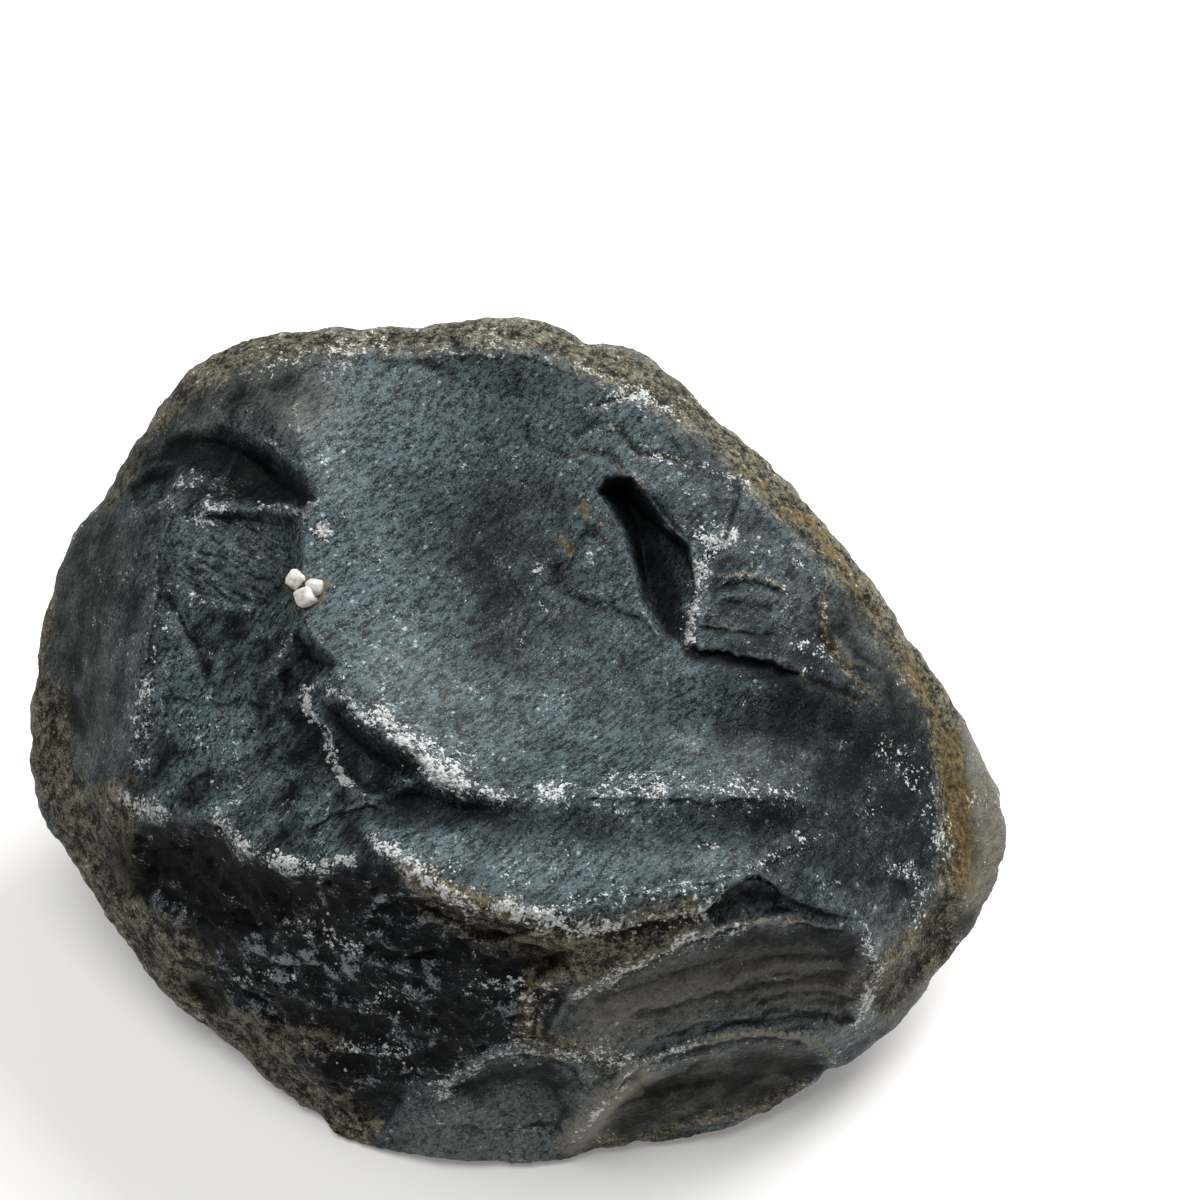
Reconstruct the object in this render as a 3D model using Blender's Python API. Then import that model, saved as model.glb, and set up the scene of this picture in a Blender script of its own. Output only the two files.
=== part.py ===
"""A chunk of broken basalt, about 150 mm wide: one solid piece of stone lying on a small flat spot.

The broken side is set out as the eye sees it. Each point of it is a picture point, in pixels
across and down a square view, with how far it stands towards the eye, in millimetres, from
the upright sheet through the stone's middle. The far side and the underside are set out in
plain millimetres. Lines of points are ridges, and what lies between them is a smooth fracture face.
"""

import math

import bmesh
import bpy
import numpy as np
from mathutils import Vector, noise
from mathutils.geometry import delaunay_2d_cdt

MM = 0.001

# Driving dimensions, in metres. The finished stone is scaled to its width, the others go with it.
STONE_WIDTH = 0.150
MIDDLE_HEIGHT = 46.5 * MM
EYE_DISTANCE = 240 * MM
EYE_PITCH = math.radians(47)

# The square view that the broken side is set out in, in pixels
VIEW_CENTRE = 600
MIDDLE_ACROSS = 518
MIDDLE_DOWN = 742
OUTLINE_PIXELS = 975
PIXEL = STONE_WIDTH / OUTLINE_PIXELS
FOCAL_PIXELS = EYE_DISTANCE / PIXEL

# The mesh. Smoothing draws the outline in a little, so it is set out larger by OUTLINE_SWELL.
SMOOTHING_LEVELS = 4
TRIANGLES = 9000
OUTLINE_SWELL = 1.013
RIM_SHARPNESS = 0.42
FLAT_LIMIT = 0.3 * MM

# Bites fade out where the surface turns edge-on to the eye, as the sine of the angle to the sight
EDGE_ON = 0.2

# Scars stay clear of the outline: how far behind the stone's middle they start, and reach full depth
SCAR_START = 20 * MM
SCAR_FULL = 34 * MM

# Roughness of the whole surface: (size of the lumps, their height), in metres
LUMPS = ((0.022, 0.0011), (0.009, 0.0005), (0.0042, 0.00022))

STONE_COLOUR = (0.045, 0.052, 0.055, 1.0)
STONE_ROUGHNESS = 0.62

# The stone's outline, clockwise from its highest point
OUTLINE = (
    (515, 320, -12), (548, 325, -12), (590, 345, -12), (628, 353, -13), (660, 372, -13),
    (690, 393, -13), (715, 420, -14), (748, 442, -14), (778, 472, -14), (800, 500, -14),
    (828, 532, -14), (856, 566, -14), (882, 600, -14), (908, 638, -14), (932, 668, -14),
    (949, 702, -15), (968, 730, -17), (985, 768, -17), (1001, 808, -15), (1006, 838, -12),
    (1002, 868, -10), (987, 905, -9), (962, 947, -8), (930, 982, -7), (902, 1018, -6),
    (868, 1047, -6), (830, 1074, -5), (790, 1100, -5), (742, 1121, -4), (690, 1132, -3),
    (640, 1143, -3), (590, 1153, -2), (552, 1165, -1), (505, 1161, -1), (455, 1154, -1),
    (405, 1150, -2), (358, 1141, -4), (318, 1117, -6), (284, 1094, -8), (250, 1067, -10),
    (208, 1036, -11), (172, 1000, -12), (140, 967, -13), (112, 928, -14), (88, 884, -15),
    (63, 846, -16), (42, 820, -18), (32, 782, -20), (32, 740, -20), (37, 700, -20),
    (40, 672, -19), (40, 640, -19), (52, 596, -19), (68, 552, -18), (86, 518, -18),
    (104, 501, -17), (124, 468, -17), (150, 430, -16), (176, 388, -15), (212, 358, -15),
    (256, 340, -14), (308, 331, -13), (360, 327, -12), (415, 329, -12), (468, 326, -12),
)

# Ridges between the fracture faces: name, sharpness from 0 to 1, points
RIDGES = (
    ("top rim", 0.35, (
        (205, 385, -6), (250, 365, -6), (303, 352, -5), (350, 350, -5), (410, 354, -4),
        (470, 350, -4), (530, 348, -4), (590, 370, -4), (640, 386, -5), (680, 413, -5),
    )),
    ("right rim", 0.45, (
        (680, 413, -5), (720, 455, -5), (755, 492, -4), (792, 532, -4), (824, 577, -3),
        (852, 626, -3), (887, 672, -4), (916, 716, -5), (936, 770, -5), (947, 830, -4),
        (938, 885, -1), (910, 935, 1),
    )),
    ("far right shoulder", 0.5, (
        (936, 770, -5), (955, 800, -9), (966, 840, -8), (978, 880, -7),
    )),
    ("dish, upper left edge", 0.6, (
        (303, 352, -5), (299, 395, -1), (297, 440, 3), (316, 500, 7),
    )),
    ("dish, left cliff", 0.9, (
        (316, 500, 7), (303, 530, 8), (303, 575, 9), (300, 630, 12), (343, 665, 14),
        (345, 700, 16), (378, 735, 19), (425, 765, 21), (470, 790, 22.5),
    )),
    ("dish, lower crest", 0.35, (
        (470, 790, 22.5), (540, 800, 22), (620, 797, 21.5), (700, 795, 20.5),
        (770, 798, 18), (815, 812, 14.5),
    )),
    ("brow", 0.75, (
        (378, 852, 25), (412, 866, 27), (445, 892, 28.5), (500, 908, 29.5), (560, 915, 29.5),
        (630, 900, 29), (690, 892, 27.5), (722, 884, 26), (752, 877, 24.5),
        (780, 890, 22.5), (830, 915, 17.5), (875, 935, 11.5), (910, 935, 1),
    )),
    ("upper ripple edge", 0.6, (
        (520, 962, 25), (560, 985, 22.5), (610, 972, 24), (680, 938, 25), (750, 921, 22.5),
        (815, 922, 18.5), (862, 945, 13), (882, 966, 8.5), (870, 992, 6.5), (856, 1030, 3.5),
    )),
    ("left ridge", 0.7, (
        (166, 505, 0), (157, 560, 1), (153, 610, 2), (146, 665, 2.5), (138, 720, 3),
        (120, 790, 2),
    )),
    ("left terrace edge", 0.85, (
        (75, 815, -9), (120, 790, 2), (150, 815, 7), (225, 818, 13.5), (246, 850, 16),
        (298, 872, 20), (345, 868, 23), (378, 852, 25),
    )),
    ("lower left edge", 0.4, (
        (75, 815, -9), (112, 868, -7), (150, 930, -5), (200, 985, -3.5), (262, 1030, -1),
        (320, 1080, 1),
    )),
    ("foot crest", 0.8, (
        (572, 1150, 1.5), (592, 1118, 7), (630, 1078, 12), (690, 1050, 14.5),
        (760, 1036, 12.5), (810, 1042, 8.5), (856, 1030, 3.5),
    )),
    ("foot scar rim", 0.6, (
        (445, 1082, 9), (490, 1056, 12.5), (548, 1054, 13), (582, 1080, 11), (578, 1118, 7),
        (572, 1150, 1.5),
    )),
    ("ledge right of the dish", 0.5, (
        (682, 648, 8.5), (722, 668, 9), (770, 674, 8), (815, 690, 5.5), (862, 702, 2.5),
    )),
)

# Single points on the faces between the ridges, which give each face its tilt and its hollow
FACE_POINTS = (
    # Dish
    (400, 400, -3), (480, 395, -4.5), (560, 400, -3.5), (620, 425, -2), (350, 450, 1),
    (420, 470, -1.5), (500, 480, -3), (580, 490, -1.5), (365, 540, 4.5), (430, 560, 1.5),
    (510, 570, 0), (590, 570, 2), (370, 620, 9), (440, 645, 6), (520, 660, 4.5),
    (600, 660, 5.5), (420, 710, 14), (490, 730, 12.5), (570, 735, 11), (660, 730, 10.5),
    (750, 735, 9), (830, 752, 5.5), (885, 760, 0.5), (640, 765, 16), (740, 768, 14.5),
    (530, 770, 17.5),
    # Second ripple of the dish, under its lower crest
    (430, 815, 22.5), (500, 835, 22.5), (590, 840, 21.5), (680, 838, 20.5),
    (770, 838, 17), (850, 830, 10), (900, 830, 4), (880, 885, 7.5), (460, 870, 26),
    (560, 878, 25.5), (660, 868, 24.5), (750, 858, 21),
    # Broken corner right of the dish
    (660, 460, -1), (640, 520, 1.5), (705, 510, -0.5), (700, 580, 3.5), (760, 560, 0.5),
    (650, 600, 4.5), (760, 620, 3.5), (815, 640, 1), (860, 745, 3),
    # Left terrace, and the smooth face at the far left
    (235, 400, -3), (200, 450, -3.5), (250, 470, 0), (140, 480, -8), (240, 540, 2),
    (286, 545, 4), (286, 600, 6), (300, 700, 10), (318, 735, 11.5), (352, 768, 14.5),
    (210, 600, 3.5), (255, 620, 5), (210, 680, 5.5), (262, 690, 8), (200, 750, 7.5),
    (280, 760, 11), (340, 805, 16), (300, 820, 15), (110, 560, -7), (90, 630, -9),
    (85, 700, -9.5), (75, 760, -10),
    # Dark flank under the left terrace
    (180, 880, 3.5), (240, 900, 10), (310, 920, 15), (390, 920, 20.5), (460, 945, 24),
    (230, 960, 3), (310, 985, 9), (400, 1000, 14.5), (480, 1010, 17.5), (330, 1045, 4),
    (410, 1060, 8), (380, 1105, 1.5), (450, 1125, 2.5), (520, 1135, 2.5),
    # Ripple-marked scar, and the scar at the foot
    (600, 1010, 20.5), (680, 985, 21.5), (760, 970, 19), (830, 985, 11.5),
    (620, 1050, 16.5), (700, 1020, 18), (780, 1015, 13.5), (520, 1020, 17),
    (640, 1115, 3.5), (700, 1100, 4.5), (770, 1075, 3.5), (520, 1095, 7.5),
    (900, 990, -1), (930, 930, -4),
)

# Far side and underside, in millimetres from the point on the ground under the stone's middle
FAR_POINTS = (
    (-24, -24, -0.6), (2, -30, -0.6), (30, -24, -0.6), (40, -2, -0.6), (33, 26, -0.6),
    (4, 36, -0.6), (-28, 27, -0.6), (-38, 0, -0.6), (0, 2, -1.0),
    (-58, -10, 8), (-62, 24, 11), (-42, 52, 9), (0, 64, 10), (42, 50, 8), (62, 22, 9),
    (28, -42, 5), (-26, -42, 5),
    (-76, 20, 36), (-60, 54, 38), (-22, 78, 38), (24, 80, 34), (60, 58, 34), (78, 26, 28),
    (-48, 56, 60), (-14, 74, 62), (20, 76, 60),
)

# Bites broken out of the near side: name, depth in millimetres, steepness of the wall,
# picture point where the floor comes up to the surface, one where it is deepest, outline
BITES = (
    ("upper left pocket", 7.5, 1.5, (188, 520), (285, 450), (
        (150, 462), (166, 440), (190, 426), (225, 424), (252, 434), (276, 446), (292, 462),
        (304, 483), (318, 501), (300, 509), (262, 506), (205, 502), (178, 520),
    )),
    ("left gap", 3.6, 1.3, (135, 515), (182, 470), (
        (128, 486), (150, 468), (186, 456), (180, 484), (168, 504), (138, 512),
    )),
    ("hackled hollow", 2.6, 1.3, (178, 560), (292, 560), (
        (190, 512), (240, 510), (296, 515), (303, 530), (303, 572), (290, 596), (268, 610),
        (236, 606), (200, 596), (172, 588), (166, 562), (176, 530),
    )),
    ("first notch", 4.8, 1.2, (270, 705), (330, 655), (
        (297, 628), (318, 640), (345, 667), (318, 682), (302, 694), (282, 700), (276, 672),
    )),
    ("second notch", 5.2, 1.0, (335, 800), (400, 738), (
        (318, 700), (348, 701), (364, 722), (380, 736), (404, 746), (426, 766), (418, 784),
        (380, 800), (352, 790), (338, 765), (326, 735),
    )),
    ("hollow under the second notch", 3.2, 0.8, (400, 850), (455, 792), (
        (372, 800), (420, 778), (440, 780), (472, 790), (505, 801), (520, 812), (470, 832),
        (400, 845), (368, 836),
    )),
    ("wedge", 9.5, 3.6, (702, 585), (628, 560), (
        (606, 478), (632, 476), (652, 500), (672, 526), (690, 545), (697, 580), (692, 615),
        (684, 646), (656, 633), (640, 600), (622, 534), (608, 508), (596, 492),
    )),
    ("chip beside the wedge", 1.8, 1.2, (640, 530), (680, 500), (
        (645, 492), (656, 496), (676, 520), (692, 542), (676, 538), (658, 522), (648, 506),
    )),
    ("dark hollow under the terrace", 5.5, 1.3, (260, 960), (230, 850), (
        (134, 832), (152, 820), (224, 821), (246, 852), (298, 874), (345, 870), (330, 905),
        (260, 935), (180, 918), (128, 900),
    )),
    ("pit low on the left", 3.0, 1.3, (215, 1030), (205, 985), (
        (178, 985), (205, 972), (230, 980), (238, 1005), (226, 1022), (205, 1012),
    )),
    ("second pit low on the left", 3.0, 1.2, (300, 1030), (262, 988), (
        (240, 990), (258, 982), (300, 996), (325, 1010), (310, 1030), (262, 1022),
    )),
    ("hollow under the brow", 4.2, 1.3, (400, 960), (470, 915), (
        (372, 908), (405, 886), (440, 896), (490, 912), (540, 925), (520, 950), (460, 962),
        (400, 960),
    )),
    ("dark tongue", 4.0, 1.5, (520, 1000), (560, 945), (
        (500, 925), (540, 935), (575, 950), (572, 968), (540, 985), (500, 1000), (470, 975),
    )),
    ("eyebrow chip", 2.0, 1.2, (745, 940), (745, 892), (
        (722, 892), (738, 882), (760, 880), (782, 892), (782, 902), (800, 912), (750, 925),
        (715, 928), (700, 912),
    )),
    ("rippled scar", 4.4, 1.0, (700, 1075), (730, 950), (
        (560, 1000), (600, 987), (640, 967), (680, 947), (720, 932), (760, 927), (800, 925),
        (840, 930), (862, 940), (876, 962), (868, 988), (856, 1024), (810, 1032),
        (750, 1034), (700, 1044), (640, 1060), (600, 1060), (574, 1046), (558, 1030),
    )),
    ("small round scar", 2.2, 1.2, (545, 1030), (560, 995), (
        (530, 990), (552, 982), (570, 985), (574, 1000), (560, 1018), (545, 1035), (530, 1020),
    )),
    ("foot scar", 3.4, 1.0, (500, 1140), (548, 1075), (
        (450, 1084), (490, 1062), (548, 1060), (576, 1078), (580, 1110), (566, 1138),
        (520, 1132), (460, 1130), (436, 1108),
    )),
    ("long scar at the foot", 5.2, 1.0, (690, 1150), (720, 1062), (
        (600, 1132), (612, 1105), (640, 1080), (690, 1058), (760, 1044), (812, 1050),
        (835, 1064), (800, 1092), (740, 1116), (660, 1134),
    )),
    ("oval scar at the foot", 2.4, 1.2, (380, 1130), (385, 1085), (
        (345, 1100), (362, 1085), (392, 1078), (410, 1088), (408, 1104), (392, 1122),
        (360, 1122),
    )),
    ("shallow scar on the right rim", 1.6, 0.6, (900, 640), (838, 610), (
        (822, 590), (845, 580), (872, 590), (892, 625), (905, 655), (880, 672), (850, 660),
        (828, 630),
    )),
    ("scar low on the right", 2.2, 0.7, (930, 1000), (900, 965), (
        (885, 968), (912, 950), (936, 950), (925, 985), (895, 1015), (872, 1020), (868, 996),
    )),
)

# Scars on the far side: turn from the front and height angle in degrees, width, depth in millimetres
FAR_SCARS = (
    (150, 38, 62, 8.0), (205, 22, 70, 9.0), (238, 48, 46, 5.0), (120, 12, 44, 5.0),
    (178, 2, 40, 4.5), (262, 8, 48, 5.5), (96, 30, 34, 3.5), (222, -6, 34, 4.0),
)

SIGHT = Vector((0, math.cos(EYE_PITCH), -math.sin(EYE_PITCH)))
SIGHT_UP = Vector((0, math.sin(EYE_PITCH), math.cos(EYE_PITCH)))
SIGHT_RIGHT = Vector((1, 0, 0))
MIDDLE = Vector((0, 0, MIDDLE_HEIGHT))
SCAR_AIM = Vector((0, 8, 30)) * MM


def ray(across, down):
    """The line of sight through a picture point, one metre along the eye's own direction."""
    right = (across - VIEW_CENTRE) / FOCAL_PIXELS
    up = (VIEW_CENTRE - down) / FOCAL_PIXELS
    return SIGHT + SIGHT_RIGHT * right + SIGHT_UP * up


EYE = MIDDLE - ray(MIDDLE_ACROSS, MIDDLE_DOWN) * EYE_DISTANCE


def near_point(across, down, towards):
    """A point of the broken side, from its picture point and its distance towards the eye."""
    return EYE + ray(across, down) * (EYE_DISTANCE - towards * MM)


def picture(points):
    """Where points, as rows of a numpy array, show in the picture: pixels across and down."""
    offset = points - np.array(EYE)
    deep = offset @ np.array(SIGHT)
    across = VIEW_CENTRE + FOCAL_PIXELS * (offset @ np.array(SIGHT_RIGHT)) / deep
    down = VIEW_CENTRE - FOCAL_PIXELS * (offset @ np.array(SIGHT_UP)) / deep
    return np.stack([across, down], axis=1)


def triangles(flat_points, ridge_edges, outline_count):
    """Triangles over flat points whose first ones are the outline, with every ridge kept as an edge."""
    flat = [Vector(point) for point in flat_points]
    outline = list(range(outline_count))
    made = delaunay_2d_cdt(flat, ridge_edges, [outline], 0, 1e-6)
    faces, origin, inside = made[2], made[3], made[5]
    return [[origin[i][0] for i in face] for face, source in zip(faces, inside) if source]


def swollen_outline():
    """The outline's picture points, set out a little larger about the stone's middle."""
    points = []
    for across, down, towards in OUTLINE:
        points.append((
            MIDDLE_ACROSS + (across - MIDDLE_ACROSS) * OUTLINE_SWELL,
            MIDDLE_DOWN + (down - MIDDLE_DOWN) * OUTLINE_SWELL,
            towards,
        ))
    return points


def cage():
    """The stone as a coarse mesh: near side and far side over one shared outline."""
    outline = swollen_outline()
    count = len(outline)
    near = list(outline)
    ridge_edges, sharpness = [], []
    for _, sharp, line in RIDGES:
        for point in line:
            if point not in near:
                near.append(point)
        places = [near.index(point) for point in line]
        ridge_edges += list(zip(places, places[1:]))
        sharpness += [sharp] * (len(places) - 1)
    near += list(FACE_POINTS)
    near_faces = triangles([p[:2] for p in near], ridge_edges, count)

    far = [Vector(point) * MM for point in FAR_POINTS]
    far_flat = [p[:2] for p in outline] + [tuple(p) for p in picture(np.array(far))]
    far_faces = triangles(far_flat, [], count)

    bm = bmesh.new()
    near_verts = [bm.verts.new(near_point(*point)) for point in near]
    far_verts = near_verts[:count] + [bm.verts.new(point) for point in far]
    for face in near_faces:
        bm.faces.new([near_verts[i] for i in face])
    for face in far_faces:
        bm.faces.new([far_verts[i] for i in reversed(face)])
    crease = bm.edges.layers.float.new("crease_edge")
    ridge_edges += [(i, (i + 1) % count) for i in range(count)]
    sharpness += [RIM_SHARPNESS] * count
    for (a, b), sharp in zip(ridge_edges, sharpness):
        bm.edges.get((near_verts[a], near_verts[b]))[crease] = sharp
    bmesh.ops.recalc_face_normals(bm, faces=bm.faces)
    mesh = bpy.data.meshes.new("cage")
    bm.to_mesh(mesh)
    bm.free()
    return mesh


def evaluated(mesh, kind, **settings):
    """The mesh with one modifier run on it, as a mesh of its own."""
    holder = bpy.data.objects.new("holder", mesh)
    bpy.context.collection.objects.link(holder)
    modifier = holder.modifiers.new(kind, kind)
    for name, value in settings.items():
        setattr(modifier, name, value)
    graph = bpy.context.evaluated_depsgraph_get()
    result = bpy.data.meshes.new_from_object(holder.evaluated_get(graph), depsgraph=graph)
    bpy.data.objects.remove(holder)
    return result


def places_and_normals(mesh):
    """The mesh's points and their normals, as two numpy arrays."""
    places = np.empty(len(mesh.vertices) * 3, np.float32)
    normals = np.empty(len(mesh.vertices) * 3, np.float32)
    mesh.vertices.foreach_get("co", places)
    mesh.vertex_normals.foreach_get("vector", normals)
    return places.reshape(-1, 3).astype(float), normals.reshape(-1, 3).astype(float)


def move(mesh, places):
    """Puts the mesh's points at these places."""
    mesh.vertices.foreach_set("co", places.astype(np.float32).ravel())
    mesh.update()


def inside_distance(points, outline):
    """How far inside a closed outline each flat point is, negative outside it."""
    corners = np.array(outline, float)
    nearest = np.full(len(points), np.inf)
    inside = np.zeros(len(points), bool)
    for start, end in zip(corners, np.roll(corners, -1, axis=0)):
        along = end - start
        share = np.clip(((points - start) @ along) / (along @ along), 0, 1)
        gap = points - start - share[:, None] * along
        nearest = np.minimum(nearest, np.hypot(gap[:, 0], gap[:, 1]))
        crosses = (start[1] > points[:, 1]) != (end[1] > points[:, 1])
        rise = np.where(end[1] == start[1], 1, end[1] - start[1])
        at = start[0] + (points[:, 1] - start[1]) / rise * (end[0] - start[0])
        inside ^= crosses & (points[:, 0] < at)
    return np.where(inside, nearest, -nearest)


def bite(places, normals):
    """Breaks the bites out of the near side, each along the lines of sight."""
    rays = places - np.array(EYE)
    rays /= np.linalg.norm(rays, axis=1)[:, None]
    facing = np.clip(-(normals * rays).sum(1) / EDGE_ON, 0, 1)
    seen = picture(places)
    depth = np.zeros(len(places))
    for _, deepest, wall, shallow_end, deep_end, outline in BITES:
        shallow, deep = np.array(shallow_end, float), np.array(deep_end, float)
        fall = deep - shallow
        floor = np.clip(((seen - shallow) @ fall) / (fall @ fall), 0, 1) * deepest * MM
        inside = inside_distance(seen, outline) * PIXEL
        depth = np.maximum(depth, np.minimum(floor, np.clip(inside, 0, None) * wall))
    return places + rays * (depth * facing)[:, None]


def scar(places, normals, turn, height, width, deepest):
    """Scoops one round scar out of the far side: a ball pressed in along the line to its middle."""
    turn, height = math.radians(turn), math.radians(height)
    out = np.array([math.sin(turn) * math.cos(height), -math.cos(turn) * math.cos(height),
                    math.sin(height)])
    away = places - np.array(SCAR_AIM)
    heading = away / np.linalg.norm(away, axis=1)[:, None]
    surface = places[np.argmax(heading @ out)]
    radius = ((width / 2) ** 2 + deepest**2) / (2 * deepest) * MM
    offset = places - surface - out * (radius - deepest * MM)
    along = offset @ out
    aside = (offset**2).sum(1) - along**2
    floor = -np.sqrt(np.clip(radius**2 - aside, 0, None))
    cut = (aside < radius**2) & (along > floor) & (normals @ out > 0)
    behind = (places - np.array(MIDDLE)) @ np.array(SIGHT)
    free = np.clip((behind - SCAR_START) / (SCAR_FULL - SCAR_START), 0, 1)
    return places + out * np.where(cut, (floor - along) * free, 0)[:, None]


def lumpy(places, normals):
    """Adds the uneven surface of broken stone."""
    height = np.zeros(len(places))
    for size, rise in LUMPS:
        height += [rise * noise.noise(Vector(place) / size) for place in places]
    return places + normals * height[:, None]


def stone_mesh():
    """The whole stone: smoothed cage, lumps, scars, bites, and the flat spot that it lies on."""
    dense = evaluated(cage(), "SUBSURF", levels=SMOOTHING_LEVELS,
                      render_levels=SMOOTHING_LEVELS)
    places, normals = places_and_normals(dense)
    places = lumpy(places, normals)
    for spec in FAR_SCARS:
        places = scar(places, normals, *spec)
    move(dense, places)
    places = bite(*places_and_normals(dense))
    places[:, 2] = np.maximum(places[:, 2], 0)
    move(dense, places)
    dense.calc_loop_triangles()
    share = TRIANGLES / len(dense.loop_triangles)
    coarse = evaluated(dense, "DECIMATE", ratio=share, use_collapse_triangulate=True)
    places, _ = places_and_normals(coarse)
    places[places[:, 2] < FLAT_LIMIT, 2] = 0
    middle, scale = setting(places)
    move(coarse, (places - middle) * scale)
    return coarse


def setting(places):
    """The point to put the origin at, on the ground under the middle, and the scale to true width."""
    low, high = places.min(axis=0), places.max(axis=0)
    middle = (low + high) / 2
    middle[2] = low[2]
    return middle, STONE_WIDTH / (high[0] - low[0])


def stone_material():
    """Near-black, blue-grey basalt."""
    material = bpy.data.materials.new("basalt")
    material.use_nodes = True
    surface = material.node_tree.nodes["Principled BSDF"]
    surface.inputs["Base Color"].default_value = STONE_COLOUR
    surface.inputs["Roughness"].default_value = STONE_ROUGHNESS
    surface.inputs["Metallic"].default_value = 0.0
    return material


def main():
    for startup_object in list(bpy.data.objects):
        bpy.data.objects.remove(startup_object)
    mesh = stone_mesh()
    mesh.name = "basalt_chunk"
    mesh.materials.clear()
    mesh.materials.append(stone_material())
    stone = bpy.data.objects.new("basalt_chunk", mesh)
    bpy.context.collection.objects.link(stone)


main()
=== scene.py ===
import math
from itertools import product

import bmesh
import bpy
import numpy as np
from mathutils import Euler, Matrix, Vector, noise
from mathutils.geometry import delaunay_2d_cdt


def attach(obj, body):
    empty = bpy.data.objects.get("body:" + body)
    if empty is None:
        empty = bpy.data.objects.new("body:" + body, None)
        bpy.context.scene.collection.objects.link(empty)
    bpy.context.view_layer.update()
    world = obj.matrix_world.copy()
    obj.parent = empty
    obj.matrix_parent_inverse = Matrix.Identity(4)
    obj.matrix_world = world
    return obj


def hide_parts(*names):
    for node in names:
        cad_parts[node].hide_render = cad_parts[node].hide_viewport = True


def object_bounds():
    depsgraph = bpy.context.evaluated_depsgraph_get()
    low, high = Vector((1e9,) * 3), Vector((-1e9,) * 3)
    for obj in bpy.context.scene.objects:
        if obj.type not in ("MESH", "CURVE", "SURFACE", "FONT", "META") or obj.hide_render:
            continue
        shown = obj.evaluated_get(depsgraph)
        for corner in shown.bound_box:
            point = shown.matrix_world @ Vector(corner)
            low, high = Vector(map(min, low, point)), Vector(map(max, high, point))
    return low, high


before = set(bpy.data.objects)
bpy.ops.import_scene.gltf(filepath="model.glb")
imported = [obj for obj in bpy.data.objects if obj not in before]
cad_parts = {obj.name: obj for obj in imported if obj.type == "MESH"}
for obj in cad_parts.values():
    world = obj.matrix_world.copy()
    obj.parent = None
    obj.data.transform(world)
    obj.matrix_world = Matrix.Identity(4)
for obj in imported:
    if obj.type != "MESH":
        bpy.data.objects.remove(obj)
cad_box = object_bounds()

# THE STONE'S FORM
# One chunk of fine-grained basalt, broken by blows: hollow fracture faces that meet in ridges, with
# the worn crust of the old block left along the rim. It is set out as in the part's source, from
# picture points with their distance towards the eye, and then given its fine relief.
MM = 0.001

# Driving dimensions, in metres. The finished stone is scaled to its width, the others go with it.
STONE_WIDTH = 0.150
MIDDLE_HEIGHT = 46.5 * MM
EYE_DISTANCE = 240 * MM
EYE_PITCH = math.radians(47)

# The square view that the broken side is set out in, in pixels
VIEW_CENTRE = 600
MIDDLE_ACROSS = 518
MIDDLE_DOWN = 742
OUTLINE_PIXELS = 975
PIXEL = STONE_WIDTH / OUTLINE_PIXELS
FOCAL_PIXELS = EYE_DISTANCE / PIXEL

# The mesh. Smoothing draws the outline in a little, so it is set out larger by OUTLINE_SWELL.
OUTLINE_SWELL = 1.013
RIM_SHARPNESS = 0.42
FLAT_LIMIT = 0.3 * MM

# Bites fade out where the surface turns edge-on to the eye, as the sine of the angle to the sight
EDGE_ON = 0.2

# Scars stay clear of the outline: how far behind the stone's middle they start, and reach full depth
SCAR_START = 20 * MM
SCAR_FULL = 34 * MM

# Roughness of the whole surface: (size of the lumps, their height), in metres
LUMPS = ((0.022, 0.0011), (0.009, 0.0005), (0.0042, 0.00022))

# The stone's outline, clockwise from its highest point
OUTLINE = (
    (515, 320, -12), (548, 325, -12), (590, 345, -12), (628, 353, -13), (660, 372, -13),
    (690, 393, -13), (715, 420, -14), (748, 442, -14), (778, 472, -14), (800, 500, -14),
    (828, 532, -14), (856, 566, -14), (882, 600, -14), (908, 638, -14), (932, 668, -14),
    (949, 702, -15), (968, 730, -17), (985, 768, -17), (1001, 808, -15), (1006, 838, -12),
    (1002, 868, -10), (987, 905, -9), (962, 947, -8), (930, 982, -7), (902, 1018, -6),
    (868, 1047, -6), (830, 1074, -5), (790, 1100, -5), (742, 1121, -4), (690, 1132, -3),
    (640, 1143, -3), (590, 1153, -2), (552, 1165, -1), (505, 1161, -1), (455, 1154, -1),
    (405, 1150, -2), (358, 1141, -4), (318, 1117, -6), (284, 1094, -8), (250, 1067, -10),
    (208, 1036, -11), (172, 1000, -12), (140, 967, -13), (112, 928, -14), (88, 884, -15),
    (63, 846, -16), (42, 820, -18), (32, 782, -20), (32, 740, -20), (37, 700, -20),
    (40, 672, -19), (40, 640, -19), (52, 596, -19), (68, 552, -18), (86, 518, -18),
    (104, 501, -17), (124, 468, -17), (150, 430, -16), (176, 388, -15), (212, 358, -15),
    (256, 340, -14), (308, 331, -13), (360, 327, -12), (415, 329, -12), (468, 326, -12),
)

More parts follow.
